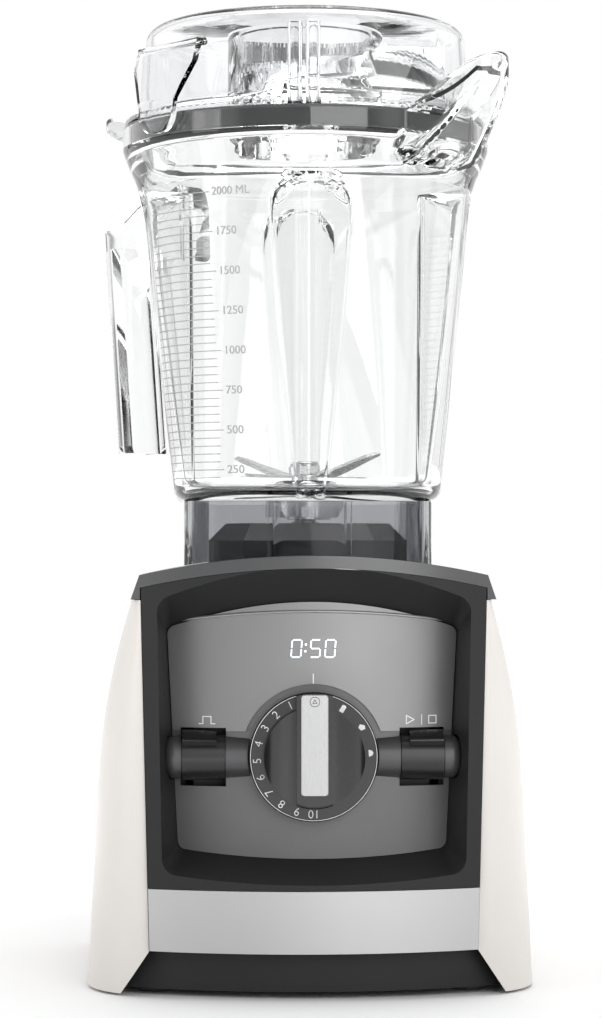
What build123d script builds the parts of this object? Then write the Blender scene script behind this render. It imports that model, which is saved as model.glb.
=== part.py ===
from build123d import *
import math
import os

os.makedirs("parts", exist_ok=True)

# A countertop blender: a motor base with a dial, two paddles and a timer, and a clear
# square-round jar with a lid.  +Z is up, the front faces -Y, and the origin is where the
# drive axis meets the counter.  All lengths are millimetres.

# ---- base envelope ----
FOOT_HALF_WIDTH = 100.6      # half width of the side panels at the counter
SIDE_STRAIGHT_TOP = 90.0     # height where the sides stop being straight
SIDE_HALF_WIDTH = 96.4       # half width there
SHOULDER_Z = 185.6           # height of the top of the sides
SHOULDER_HALF_WIDTH = 77.0   # half width there
FRONT_Y = -116.0             # middle of the bowed front
FRONT_RADIUS = 190.4         # plan radius of the bowed front
REAR_Y = 114.0               # middle of the bowed back
REAR_RADIUS = 260.0          # plan radius of the bowed back
DECK_TOP_Z = 193.8           # crown of the arched deck
ARCH_RADIUS = 356.0          # radius of the deck's arch, seen from the front
DECK_T = 5.5                 # thickness of the deck, which shows as the top band
FIN_Z = 174.6                # where the deck's side fins meet the white panels
FIN_T = 4.1                  # width of a fin at its foot
PLATE_BOTTOM_Z = 3.0         # underside of the bottom plate
PLATE_T = 4.0
LIP_DEPTH = 9.0              # from the bowed front to the bottom plate's lip
LIP_T = 3.0
VENT_RING_R = 24.0           # ring of slots under the fan
VENT_SLOT = (16.0, 4.0)
VENT_SLOTS = 12
FOOT_R = 9.0
FRONT_FOOT_INSET = 30.6      # from the side at the counter to a foot's middle
REAR_FOOT_INSET = 20.6
FRONT_FOOT_Y = -74.0
REAR_FOOT_Y = 72.0
SEAM = 0.3                   # gap between neighbouring covers

# ---- side panels ----
PANEL_T = 3.0
PANEL_BOTTOM_Z = 1.2
PANEL_CORNER_Y = -60.0       # where the front corner's sweep ends
PANEL_FRONT_Y = -99.6        # front edge of a panel, beside the bezel
PANEL_REAR_START_Y = 70.0    # where the rear corner's sweep starts
PANEL_REAR_Y = 100.0
PANEL_REAR_TURN = 14.0       # how far the rear corner turns in
LEG_TOP_Z = 20.4             # where the legs start to splay
LEG_SPLAY = 13.6             # how far a leg's inner edge runs out towards the counter
PANEL_LEVELS = [PANEL_BOTTOM_Z, 32, 62, 90, 115, 138, 158, FIN_Z - SEAM]

# ---- motor housing, the inner shell ----
HOUSING_GAP = 1.8            # between a side panel and the housing
HOUSING_WALL = 3.0
HOUSING_REAR_Y = 96.0
WIRE_WINDOW = (96.0, 90.0)   # opening in the housing's front wall, width and height
VENT_WINDOW = (120.0, 110.0)  # opening in its back wall

# ---- rear cover, with louvres, switch and cord gland ----
REAR_COVER_INSET = 14.6
REAR_COVER_T = 3.0
LOUVRE_COUNT = 11
LOUVRE_PITCH = 8.0
LOUVRE_SLOT = (52.0, 3.2)
LOUVRE_Z = 118.0
SWITCH_INSET = 48.6          # from the side at the counter to the middle of the switch
SWITCH_Z = 42.0
SWITCH_SIZE = (22.0, 30.0)
SWITCH_RIM = 3.0
SWITCH_BACK_Y = 99.0
SWITCH_FACE_Y = 112.6
ROCKER_GAP = 0.4
ROCKER_TILT = 6.0            # lean of the rocker at rest, switched off
ROCKER_PIN_R = 1.2
GLAND_INSET = 48.6           # from the other side to the middle of the gland
GLAND_Z = 36.0
GLAND_R = 7.0
GLAND_BORE_R = 3.6

# ---- front bezel and control recess ----
BEZEL_BOTTOM_Z = 20.6
BEZEL_BOTTOM_HALF = 72.3
BEZEL_TOP_HALF = 76.3        # half width at the height below
BEZEL_TOP_REF_Z = 180.0
BEZEL_REAR_Y = -58.3
TRIM_TOP_Z = 48.0            # top of the silver trim plate
TRIM_T = 3.0
RECESS_DEPTH = 25.0          # from the bowed front to the control panel
CONTROL_T = 3.0
MOUTH_Y = -108.0             # mean plane of the recess mouth
FLOOR_Y = -84.0              # mean plane of the recess floor
MOUTH = dict(bottom_z=53.3, bottom_half=68.0, top_z=176.4, top_half=70.0, rise=7.6, corner=7.0)
FLOOR = dict(bottom_z=61.8, bottom_half=61.4, top_z=164.8, top_half=66.2, rise=4.4, corner=4.0)
OVERLAY_T = 0.8
OVERLAY_BOTTOM_Z = 116.0

# ---- dial ----
DIAL_Z = 105.0
DIAL_R = 28.6
DIAL_SKIRT_T = 6.0
HUB_R = 22.2
HUB_T = 11.0
SCOOP_DEPTH = 7.0            # depth of the two scoops that leave the grip bar
SCOOP_MID_X = 17.0
DIAL_BOSS_R = 28.2           # flat boss that the dial turns on
OVERLAY_HOLE_R = 32.0        # clear circle round the dial in the overlay
DIAL_BOSS_Y = -91.3
DIAL_GAP = 0.3
POINTER_W = 11.9
POINTER_TOP = 28.0           # reach of the pointer above the dial's axis
POINTER_FOOT = 16.5          # reach of the pointer below it
POINTER_T = 1.6
GRIP_RIM = 2.0               # width of the grip bar on each side of the pointer
DIAL_SHAFT_R = 3.0
DIAL_SHAFT_LENGTH = 14.0
SHAFT_GAP = 0.05             # radial running clearance of shafts and pins

# ---- paddles on their half-round bars ----
BAR_Y = -84.0
BAR_Z = 104.4
BAR_R = 9.5
BAR_INNER_X = 26.0
BAR_OUTER_X = 66.4
NECK_R = 6.5
PADDLE_R = 10.3
PADDLE_X = (39.2, 58.2)
KEY_T = 1.9
KEY_X = (43.0, 58.0)
PADDLE_SWEEP = (62, 298)     # side view of a paddle, in degrees about the bar; 180 is front
KEY_SWEEP = (96, 152)
SLOT_GAP = 0.6               # between a paddle's side and its slot
LUG_SIZE = (6.4, 2.6)        # depth and height of a paddle's switch lug
LUG_W = 6.0
LUG_OUT = 5.2                # middle of the lug behind the bar's axis
LUG_UP = 8.2                 # and above it
SWITCH_GAP = 1.3             # free travel between lug and plunger

# ---- electronics behind the panel ----
BOARD_Y = -70.4              # back face of the board
BOARD_T = 1.6
BOARD_HALF = 53.0
BOARD_Z = (70.0, 158.5)
BOARD_POST_X = 47.0
BOARD_POST_Z = (76.0, 148.0)
BOARD_POST_R = 3.0
DISPLAY_W, DISPLAY_H = 30.0, 13.0
DISPLAY_Z = 152.6
DISPLAY_FACE_Y = -90.1
WINDOW_GAP = 0.3

# ---- centring pad ----
PAD_HALF = 46.0
PAD_CORNER = 16.0
PAD_TOP_Z = 209.0
PAD_BEVEL = 8.0
PAD_BORE_R = 22.0
DECK_BORE_R = 20.0

# ---- motor ----
STATOR_HALF = 45.0
STATOR_Z = (62.0, 122.0)
ROTOR_R = 26.4
AIR_GAP = 0.6
WINDING_T = 11.0
WINDING_R = (29.0, 38.0)
POST_XY = 38.0
POST_R = 5.0
LOWER_BRACKET_Z = 34.0
UPPER_BRACKET_Z = 142.0
BRACKET_T = 6.0
BEARING_R = 11.0
BEARING_T = 8.6
BEARING_LIP = 2.0            # floor of a bearing's pocket
MOTOR_SHAFT_R = 6.0
SHAFT_BOTTOM_Z = 12.0
SHAFT_SHOULDER_Z = 194.5
COMMUTATOR_R = 12.0
COMMUTATOR_Z = (124.0, 136.0)
BRUSH_H, BRUSH_W = 8.0, 6.0
BRUSH_END_X = 26.0
HOLDER_WALL = 1.5
HOLDER_STALK_X = 18.5        # where a holder hangs from the upper bracket
FAN_R = 36.0
FAN_Z = (14.0, 28.0)
FAN_BLADES = 9

# ---- drive coupling ----
SOCKET_R = 15.0
SOCKET_TOP_Z = 208.5
SOCKET_FLOOR_Z = 199.5
SOCKET_STUB_R = 5.0
SPLINE_TEETH = 8
SPLINE_R = 6.6
SPLINE_ROOT_R = 5.2
SPLINE_GAP = 0.35

# ---- jar ----
JAR_WALL = 3.0
JAR_BOTTOM_Z = 219.0
JAR_FLOOR_T = 4.0
JAR_BOTTOM_HALF = 61.4
JAR_BOTTOM_CORNER = 36.0
JAR_NECK_Z = 366.0
JAR_NECK_R = 79.0
RIM_R = 86.5
RIM_TOP_Z = 396.0
RIM_SHELF_Z = 385.0
RIM_WALL = 3.2
FLUTE_INNER_R = 53.5         # flute crests, measured inside the jar
FLUTE_SLOPE = 40.0           # half angle of a flute's wedge, in degrees
FLUTE_NOSE_R = 4.5
FLUTE_TOP_Z = 368.0
FLUTE_ARCH_R = 20.5
SKIRT_HALF = 57.4
SKIRT_CORNER = 26.0
SKIRT_WALL = 3.2
SKIRT_TOP_Z = 227.0
SKIRT_RIB_X = 18.0           # ribs inside the skirt that guide it down the pad
SKIRT_RIB_W = 2.4
SEAT_GAP = 0.3

# ---- pouring spout, towards the front right corner ----
SPOUT_TURN = -45.0
SPOUT_NOSE_R = 12.5
SPOUT_NOSE_AT = 108.0
SPOUT_ROOT_HALF = 27.0
SPOUT_ROOT_R = 73.0
SPOUT_ROOT_Z = 371.0         # underside of the spout where it leaves the neck
SPOUT_TIP_Z = 420.0
SPOUT_FLOOR_T = 3.2

# ---- handle, towards the back left corner ----
HANDLE_TURN = 135.0
HANDLE_W = 23.0
HANDLE_FOOT_R = 118.7        # reach of the grip's outer face at its foot
HANDLE_TOP_R = 129.5         # and at the knuckle, where it leans out most
HANDLE_T = 15.5
HANDLE_BOTTOM_Z = 245.0
HANDLE_WALL = 2.6
HANDLE_EDGE_R = 4.0
KNUCKLE_Z = 360.0
ARM_TOP_Z = 376.0
ARM_ROOT_Z = 340.0           # underside of the arm at the jar
ARM_START_R = 67.0           # inside the jar's neck, cut back to its wall
POCKET_TOP_Z = 348.0         # top of the hollow in the grip

# ---- blade assembly ----
BLADE_Z = 229.5
BLADE_R = 48.0
BLADE_T = 1.8
BLADE_SHAFT_R = 5.0
SLEEVE_R = 12.0
SLEEVE_BORE_R = 9.0
DOME_R = 15.0
DOME_TOP_Z = 227.0
NUT_R = 19.0
NUT_BOTTOM_Z = 212.2
WINGS = [(135.0, 17.5), (-45.0, 17.5), (45.0, -1.0), (-135.0, 1.5)]  # turn and rise
WING_ROOT_W, WING_TIP_W = 15.0, 6.5
WING_BEND_R = 9.0            # where the wings leave the hub
WING_GRIND = 40.0            # slope of the ground edges, in degrees
BLADE_HUB_R = 12.0
BLADE_THREAD_R = 3.5

# ---- lid ----
LID_TOP_Z = 443.3
LID_TOP_R = 75.8
LID_WALL = 2.8
LID_EDGE_R = 7.0
FLANGE_R = 85.4
FLANGE_T = 2.8
LID_PLUG_WALL_R = 79.9       # wall that carries the gasket
GASKET_Z = (387.2, 395.2)
CUP_R = 34.0                 # inside of the cup that holds the plug
CUP_FLOOR_Z = 399.6
CUP_LEDGE_R = 30.0
CUP_LEDGE_T = 3.0
PLUG_GAP = 0.4
PLUG_TOP_Z = 441.0
PLUG_WALL = 2.5
PLUG_NECK_R = 29.5
PLUG_SUNK = 15.0             # depth of the finger room beside the plug's bar
PLUG_TAIL = 5.4              # reach of the plug below the cup's floor
PLUG_BAR_HALF = 6.0
TAB_ANGLE = 30.0             # sweep of one plug tab
TWIST_ANGLE = 30.0           # sweep that the plug turns through
TAB_T = 4.4
LIFT_TAB_REACH = 128.5
LIFT_TAB_RISE = 16.0         # height of the tab's end above the flange
LIFT_TAB_T = 3.0
LIFT_TAB_HALF = 20.0
LIFT_TAB_ROOT_R = 78.0       # where the tab starts, inside the lid's flange
SHELF_REACH = 112.0
SHELF_T = 2.2
GUARD_R = 79.8               # outside of the raised guard on the lid's front wall
GUARD_CREST = [(-32.0, 399.5), (-16.0, 404.5), (4.7, 413.8), (18.0, 418.3), (37.0, 422.0),
               (62.0, 428.3)]   # crest of the guard, across and up, seen from the front
CLIP_TURNS = {"front_lid_clip": 218.0, "rear_lid_clip": 38.0}
CLIP_T = 2.6
CLIP_HINGE_R = 78.4          # where a clip hangs on the lid's wall
CLIP_HINGE_Z = 427.2
CLIP_BEAD_R = 1.7
CLIP_KNEE_Z = 402.0
CLIP_FOOT_Z = 387.0
CLIP_TOP_HALF = 22.0
CLIP_KNEE_HALF = 13.5
CLIP_FOOT_HALF = 11.5
CLIP_CORNER = 9.0

# Values that follow from the ones above.
FRONT_CENTRE_Y = FRONT_Y + FRONT_RADIUS
REAR_CENTRE_Y = REAR_Y - REAR_RADIUS
ARCH_CENTRE_Z = DECK_TOP_Z - ARCH_RADIUS
DECK_UNDER_R = ARCH_RADIUS - DECK_T
PLATE_TOP_Z = PLATE_BOTTOM_Z + PLATE_T
FOOT_AT = [(side * (FOOT_HALF_WIDTH - inset), y) for side in (-1, 1)
           for inset, y in ((FRONT_FOOT_INSET, FRONT_FOOT_Y), (REAR_FOOT_INSET, REAR_FOOT_Y))]
SWITCH_AT = (FOOT_HALF_WIDTH - SWITCH_INSET, SWITCH_Z)    # across and up, from the front
GLAND_AT = (GLAND_INSET - FOOT_HALF_WIDTH, GLAND_Z)
ROCKER_HALF_W = SWITCH_SIZE[0] / 2 - SWITCH_RIM - ROCKER_GAP
ROCKER_R = SWITCH_SIZE[1] / 2 - SWITCH_RIM - ROCKER_GAP
ROCKER_Y = SWITCH_FACE_Y - 5.0
DIAL_BACK_Y = DIAL_BOSS_Y - DIAL_GAP
DIAL_FACE_Y = DIAL_BACK_Y - DIAL_SKIRT_T - HUB_T
POINTER_MID_Z = DIAL_Z + (POINTER_TOP - POINTER_FOOT) / 2
PADDLE_MID = (PADDLE_X[0] + PADDLE_X[1]) / 2
SLOT_SIZE = (PADDLE_X[1] - PADDLE_X[0] + 2 * SLOT_GAP, 2 * (PADDLE_R + KEY_T + 0.8))
LUG_AT = (BAR_Y + LUG_OUT, BAR_Z + LUG_UP)
LUG_END_Y = LUG_AT[0] + LUG_SIZE[0] / 2
BOARD_FACE_Y = BOARD_Y - BOARD_T
POST_AT = [(x, y) for x in (-POST_XY, POST_XY) for y in (-POST_XY, POST_XY)]
LOWER_BEARING_Z = LOWER_BRACKET_Z + BEARING_LIP
UPPER_BEARING_Z = UPPER_BRACKET_Z - (BEARING_T + BEARING_LIP - BRACKET_T)
BRUSH_MID_Z = (COMMUTATOR_Z[0] + COMMUTATOR_Z[1]) / 2
FLANGE_Z = RIM_TOP_Z + SEAM
LID_SHOULDER_Z = FLANGE_Z + FLANGE_T
CUP_TOP_R = CUP_R + LID_WALL
GASKET_R = RIM_R - RIM_WALL - SEAM
PLUG_R = CUP_R - PLUG_GAP
PLUG_SHOULDER_Z = CUP_FLOOR_Z + CUP_LEDGE_T + 1.6
PLUG_SUNK_Z = PLUG_TOP_Z - PLUG_SUNK
PLUG_FOOT_Z = CUP_FLOOR_Z - PLUG_TAIL
TALL = LID_TOP_Z + 60.0      # taller than the whole blender, for cutting through it


# ======================= shared shapes =======================
def side_half_width(z):
    """Half width of the base at a height: a straight leg, then an arc tangent to it."""
    slope = (FOOT_HALF_WIDTH - SIDE_HALF_WIDTH) / SIDE_STRAIGHT_TOP
    if z <= SIDE_STRAIGHT_TOP:
        return FOOT_HALF_WIDTH - slope * z
    lean = math.atan(slope)
    run = SIDE_HALF_WIDTH - SHOULDER_HALF_WIDTH
    rise = SHOULDER_Z - SIDE_STRAIGHT_TOP
    turn = 2 * (math.atan2(run, rise) - lean)
    radius = math.hypot(run, rise) / (2 * math.sin(turn / 2))
    lean_here = math.asin((z - SIDE_STRAIGHT_TOP) / radius + math.sin(lean))
    return SIDE_HALF_WIDTH - radius * (math.cos(lean) - math.cos(lean_here))


def bezel_half_width(z):
    """Half width of the bezel at a height, widening evenly upwards."""
    slope = (BEZEL_TOP_HALF - BEZEL_BOTTOM_HALF) / (BEZEL_TOP_REF_Z - BEZEL_BOTTOM_Z)
    return BEZEL_BOTTOM_HALF + slope * (z - BEZEL_BOTTOM_Z)


def arch_z(x, radius):
    """Height of an arch of this radius, concentric with the deck's, at a distance x."""
    return ARCH_CENTRE_Z + math.sqrt(radius**2 - x**2)


def body_outline(inset, bottom_z, roof_radius):
    """Front view of the base inside its sides by an inset, under an arch of a given radius."""
    top_z = SHOULDER_Z - DECK_T - 4.0
    mid_z = (SIDE_STRAIGHT_TOP + top_z) / 2
    top_half = side_half_width(top_z) - inset
    foot = (side_half_width(bottom_z) - inset, bottom_z)
    waist = (side_half_width(SIDE_STRAIGHT_TOP) - inset, SIDE_STRAIGHT_TOP)
    bend = (side_half_width(mid_z) - inset, mid_z)
    shoulder = (top_half, top_z)
    eave = (top_half - 1.5, arch_z(top_half - 1.5, roof_radius))
    with BuildSketch() as outline:
        with BuildLine():
            Line((0, bottom_z), foot)
            Line(foot, waist)
            ThreePointArc(waist, bend, shoulder)
            Line(shoulder, eave)
            ThreePointArc(eave, (eave[0] / 2, arch_z(eave[0] / 2, roof_radius)),
                          (0, arch_z(0, roof_radius)))
            mirror(about=Plane.YZ)
        make_face()
    return outline.sketch


def recess_outline(y, inset):
    """Front view of the control recess at a depth, between its mouth and its floor."""
    share = (y - MOUTH_Y) / (FLOOR_Y - MOUTH_Y)
    size = {name: MOUTH[name] + share * (FLOOR[name] - MOUTH[name]) for name in MOUTH}
    low, high = size["bottom_z"] + inset, size["top_z"] - inset
    foot, head = size["bottom_half"] - inset, size["top_half"] - inset
    with BuildSketch() as outline:
        with BuildLine():
            Polyline((-head, high), (-foot, low), (foot, low), (head, high))
            ThreePointArc((head, high), (0, high + size["rise"]), (-head, high))
        make_face()
        fillet(outline.vertices(), size["corner"])
    return outline.sketch


def front_layer(outer_depth, inner_depth):
    """The upright bowed layer between two depths behind the front."""
    with BuildPart() as layer:
        with BuildSketch(Plane.XY):
            with Locations((0, FRONT_CENTRE_Y)):
                Circle(FRONT_RADIUS - outer_depth)
                Circle(FRONT_RADIUS - inner_depth, mode=Mode.SUBTRACT)
        extrude(amount=TALL)
    return layer.part


def recess_slab(outer_depth, inner_depth, inset):
    """The stretch of the tapered control recess between two depths behind the front."""
    mouth_y, floor_y = FRONT_Y - 4.0, BEZEL_REAR_Y - 2.0
    with BuildPart() as slab:
        with BuildSketch(Plane.XZ.offset(-mouth_y)):
            add(recess_outline(mouth_y, inset))
        with BuildSketch(Plane.XZ.offset(-floor_y)):
            add(recess_outline(floor_y, inset))
        loft()
        add(front_layer(outer_depth, inner_depth), mode=Mode.INTERSECT)
    return slab.part


def radial_plane(turn):
    """Upright plane through the drive axis: its x runs outwards at this angle, its y is up."""
    out = Vector(math.cos(math.radians(turn)), math.sin(math.radians(turn)), 0)
    return Plane(origin=(0, 0, 0), x_dir=out, z_dir=out.cross(Vector(0, 0, 1)))


def save(piece, label):
    """Label a finished sub-part and write its STEP file."""
    piece.part.label = label
    export_step(piece.part, f"parts/{label}.step")


# ======================= base: covers =======================
# Top deck: an arched sheet whose front edge is the gloss band, with a fin down each side.
with BuildPart() as top_deck:
    fin_half = side_half_width(FIN_Z)
    fin_inner = fin_half - FIN_T
    with BuildSketch(Plane.XZ.offset(-FRONT_Y)):
        with BuildLine():
            edge = (SHOULDER_HALF_WIDTH, arch_z(SHOULDER_HALF_WIDTH, ARCH_RADIUS))
            ThreePointArc((0, DECK_TOP_Z), (edge[0] / 2, arch_z(edge[0] / 2, ARCH_RADIUS)), edge)
            Line(edge, (fin_half, FIN_Z))
            Line((fin_half, FIN_Z), (fin_inner, FIN_Z))
            eave = (fin_inner, arch_z(fin_inner, DECK_UNDER_R))
            Line((fin_inner, FIN_Z), eave)
            ThreePointArc(eave, (eave[0] / 2, arch_z(eave[0] / 2, DECK_UNDER_R)),
                          (0, arch_z(0, DECK_UNDER_R)))
            mirror(about=Plane.YZ)
        make_face()
    extrude(amount=FRONT_Y - REAR_Y)
    with BuildSketch(Plane.XY):
        with Locations((0, FRONT_CENTRE_Y)):
            Circle(FRONT_RADIUS)
    extrude(amount=TALL, mode=Mode.INTERSECT)
    with BuildSketch(Plane.XY):
        with Locations((0, REAR_CENTRE_Y)):
            Circle(REAR_RADIUS)
    extrude(amount=TALL, mode=Mode.INTERSECT)
    with BuildSketch(Plane.XY):
        Circle(DECK_BORE_R)
    extrude(amount=TALL, mode=Mode.SUBTRACT)
save(top_deck, "top_deck")

# Centring pad: a bevelled block with cut corners, hollow in the middle for the drive socket.
with BuildPart() as centring_pad:
    with BuildSketch(Plane.XY.offset(SHOULDER_Z - DECK_T)) as pad_plan:
        Rectangle(2 * PAD_HALF, 2 * PAD_HALF)
        chamfer(pad_plan.vertices(), PAD_CORNER)
    extrude(amount=PAD_TOP_Z - SHOULDER_Z + DECK_T)
    chamfer(centring_pad.faces().sort_by(Axis.Z)[-1].outer_wire().edges(), PAD_BEVEL)
    with BuildSketch(Plane.XZ.offset(-2 * PAD_HALF)):
        with Locations((0, ARCH_CENTRE_Z)):
            Circle(ARCH_RADIUS)
    extrude(amount=4 * PAD_HALF, mode=Mode.SUBTRACT)
    with BuildSketch(Plane.XY):
        Circle(PAD_BORE_R)
    extrude(amount=TALL, mode=Mode.SUBTRACT)
save(centring_pad, "centring_pad")


def housing_block(inset, front_y, rear_y, floor_z, roof_radius):
    """A block inside the sides: full width to where the panels turn in, narrower behind."""
    with BuildPart() as block:
        for extra, end_y in ((0, PANEL_REAR_START_Y), (PANEL_REAR_TURN - PANEL_T, rear_y)):
            with BuildSketch(Plane.XZ.offset(-end_y)):
                add(body_outline(inset + extra, floor_z, roof_radius))
            extrude(amount=end_y - front_y)
    return block.part


# Motor housing: the inner shell between the covers, open below and vented at the back.
with BuildPart() as motor_housing:
    housing_front_y = BEZEL_REAR_Y + SEAM
    housing_inset = PANEL_T + HOUSING_GAP
    roof_radius = DECK_UNDER_R - SEAM
    add(housing_block(housing_inset, housing_front_y, HOUSING_REAR_Y, PLATE_TOP_Z, roof_radius))
    add(housing_block(housing_inset + HOUSING_WALL, housing_front_y + HOUSING_WALL,
                      HOUSING_REAR_Y - HOUSING_WALL, PLATE_BOTTOM_Z,
                      roof_radius - HOUSING_WALL), mode=Mode.SUBTRACT)
    with BuildSketch(Plane.XZ):
        with Locations((0, DIAL_Z)):
            Rectangle(*WIRE_WINDOW)
    extrude(amount=-FRONT_Y, mode=Mode.SUBTRACT)
    with BuildSketch(Plane.XZ):
        with Locations((0, SIDE_STRAIGHT_TOP)):
            Rectangle(*VENT_WINDOW)
    extrude(amount=-REAR_Y, mode=Mode.SUBTRACT)
    with BuildSketch(Plane.XY):
        Circle(DECK_BORE_R)
    extrude(amount=TALL, mode=Mode.SUBTRACT)
save(motor_housing, "motor_housing")


# Side panels: thin shells that sweep round the front corners, with splayed front legs.
def panel_section(z):
    """Plan of the right side panel at a height: front sweep, straight side, rear turn."""
    inner_x = bezel_half_width(z) + SEAM
    outer_x = side_half_width(z)
    sweep = (outer_x - inner_x, PANEL_CORNER_Y - PANEL_FRONT_Y)
    turn = (PANEL_REAR_TURN, PANEL_REAR_Y - PANEL_REAR_START_Y)
    front_centre = (inner_x, PANEL_CORNER_Y)
    rear_centre = (outer_x - PANEL_REAR_TURN, PANEL_REAR_START_Y)
    with BuildSketch() as section:
        with BuildLine():
            EllipticalCenterArc(front_centre, sweep[0], sweep[1], -90, arc_size=90)
            Line((outer_x, PANEL_CORNER_Y), (outer_x, PANEL_REAR_START_Y))
            EllipticalCenterArc(rear_centre, turn[0], turn[1], 0, arc_size=90)
            Line((rear_centre[0], PANEL_REAR_Y), (rear_centre[0], PANEL_REAR_Y - PANEL_T))
            EllipticalCenterArc(rear_centre, turn[0] - PANEL_T, turn[1] - PANEL_T, 0,
                                arc_size=90)
            Line((outer_x - PANEL_T, PANEL_REAR_START_Y), (outer_x - PANEL_T, PANEL_CORNER_Y))
            EllipticalCenterArc(front_centre, sweep[0] - PANEL_T, sweep[1] - PANEL_T, -90,
                                arc_size=90)
            Line((inner_x, PANEL_FRONT_Y + PANEL_T), (inner_x, PANEL_FRONT_Y))
        make_face()
    return section.sketch


with BuildPart() as right_side_panel:
    for level in PANEL_LEVELS:
        with BuildSketch(Plane.XY.offset(level)):
            add(panel_section(level))
    loft()
    with BuildSketch(Plane.XZ.offset(-PANEL_CORNER_Y)):
        leg_x = bezel_half_width(LEG_TOP_Z)
        with BuildLine():
            Polyline((0, LEG_TOP_Z), (leg_x, LEG_TOP_Z), (leg_x + LEG_SPLAY, 0), (0, 0), close=True)
        make_face()
    extrude(amount=PANEL_CORNER_Y - FRONT_Y, mode=Mode.SUBTRACT)
save(right_side_panel, "right_side_panel")

with BuildPart() as left_side_panel:
    mirror(right_side_panel.part, about=Plane.YZ)
save(left_side_panel, "left_side_panel")

# Bottom plate: a tray floor with a lip that closes the gap between the front legs.
with BuildPart() as bottom_plate:
    plate_half = side_half_width(0) - PANEL_T - 0.7
    leg_x = bezel_half_width(LEG_TOP_Z) + LEG_SPLAY - 2.0
    with BuildSketch(Plane.XY.offset(PLATE_BOTTOM_Z)):
        for extra, end_y in ((0, PANEL_REAR_START_Y), (PANEL_REAR_TURN - PANEL_T, HOUSING_REAR_Y)):
            with Locations((0, (end_y + BEZEL_REAR_Y) / 2)):
                Rectangle(2 * (plate_half - extra), end_y - BEZEL_REAR_Y)
    extrude(amount=PLATE_T)
    with BuildSketch(Plane.XZ.offset(-BEZEL_REAR_Y)):
        with BuildLine():
            Polyline((-leg_x, PLATE_BOTTOM_Z), (leg_x, PLATE_BOTTOM_Z), (leg_x, PLATE_TOP_Z),
                     (leg_x - 3.0, PLATE_TOP_Z), (BEZEL_BOTTOM_HALF, BEZEL_BOTTOM_Z - SEAM),
                     (-BEZEL_BOTTOM_HALF, BEZEL_BOTTOM_Z - SEAM), (3.0 - leg_x, PLATE_TOP_Z),
                     (-leg_x, PLATE_TOP_Z), close=True)
        make_face()
    extrude(amount=BEZEL_REAR_Y - FRONT_Y)
    add(front_layer(-LIP_DEPTH * 4, LIP_DEPTH), mode=Mode.SUBTRACT)
    with BuildSketch(Plane.XY.offset(PLATE_TOP_Z)):
        with Locations((0, FRONT_CENTRE_Y)):
            Circle(FRONT_RADIUS - LIP_DEPTH - LIP_T)
    extrude(amount=LEG_TOP_Z, mode=Mode.SUBTRACT)
    with BuildSketch(Plane.XY):
        with PolarLocations(VENT_RING_R, VENT_SLOTS):
            SlotOverall(*VENT_SLOT)
    extrude(amount=PLATE_TOP_Z, mode=Mode.SUBTRACT)
save(bottom_plate, "bottom_plate")

# Four rubber feet.
with BuildPart() as rubber_feet:
    with BuildSketch(Plane.XY):
        with Locations(*FOOT_AT):
            Circle(FOOT_R)
    extrude(amount=PLATE_BOTTOM_Z)
    chamfer(rubber_feet.faces().filter_by(Axis.Z).group_by(Axis.Z)[0].edges(), 0.6)
save(rubber_feet, "rubber_feet")

# Front bezel: a bowed frame with the tapered control recess and, below, the trim's seat.
with BuildPart() as front_bezel:
    top_half = bezel_half_width(BEZEL_TOP_REF_Z)
    bezel_roof = DECK_UNDER_R - 0.2
    with BuildSketch(Plane.XZ.offset(-BEZEL_REAR_Y)):
        with BuildLine():
            head = (top_half, arch_z(top_half, bezel_roof))
            Polyline((-head[0], head[1]), (-BEZEL_BOTTOM_HALF, BEZEL_BOTTOM_Z),
                     (BEZEL_BOTTOM_HALF, BEZEL_BOTTOM_Z), head)
            ThreePointArc(head, (0, arch_z(0, bezel_roof)), (-head[0], head[1]))
        make_face()
    extrude(amount=BEZEL_REAR_Y - FRONT_Y + 4.0)
    with BuildSketch(Plane.XY):
        with Locations((0, FRONT_CENTRE_Y)):
            Circle(FRONT_RADIUS)
    extrude(amount=TALL, mode=Mode.INTERSECT)
    add(recess_slab(-5.0, RECESS_DEPTH + CONTROL_T + 0.1, 0), mode=Mode.SUBTRACT)
    with BuildSketch(Plane.XZ.offset(-BEZEL_REAR_Y)):
        add(recess_outline(FLOOR_Y, 6.0))
    extrude(amount=BEZEL_REAR_Y - FRONT_Y, mode=Mode.SUBTRACT)
    with BuildSketch(Plane.XY.offset(TRIM_TOP_Z - 50.0)):
        with Locations((0, FRONT_CENTRE_Y)):
            Circle(FRONT_RADIUS + 5.0)
            Circle(FRONT_RADIUS - TRIM_T - 0.1, mode=Mode.SUBTRACT)
    extrude(amount=50.0, mode=Mode.SUBTRACT)
    with BuildSketch(Plane.YZ.offset(-BAR_OUTER_X - SEAM)):
        with Locations((BAR_Y, BAR_Z)):
            Circle(BAR_R + SEAM)
    extrude(amount=2 * (BAR_OUTER_X + SEAM), mode=Mode.SUBTRACT)
save(front_bezel, "front_bezel")

# Silver trim plate below the recess, flush with the bezel.
with BuildPart() as front_trim_plate:
    with BuildSketch(Plane.XZ.offset(-BEZEL_REAR_Y)):
        with BuildLine():
            foot, head = bezel_half_width(BEZEL_BOTTOM_Z), bezel_half_width(TRIM_TOP_Z)
            Polyline((-head, TRIM_TOP_Z - SEAM), (-foot, BEZEL_BOTTOM_Z), (foot, BEZEL_BOTTOM_Z),
                     (head, TRIM_TOP_Z - SEAM), close=True)
        make_face()
    extrude(amount=BEZEL_REAR_Y - FRONT_Y + 4.0)
    add(front_layer(0, TRIM_T), mode=Mode.INTERSECT)
save(front_trim_plate, "front_trim_plate")

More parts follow.
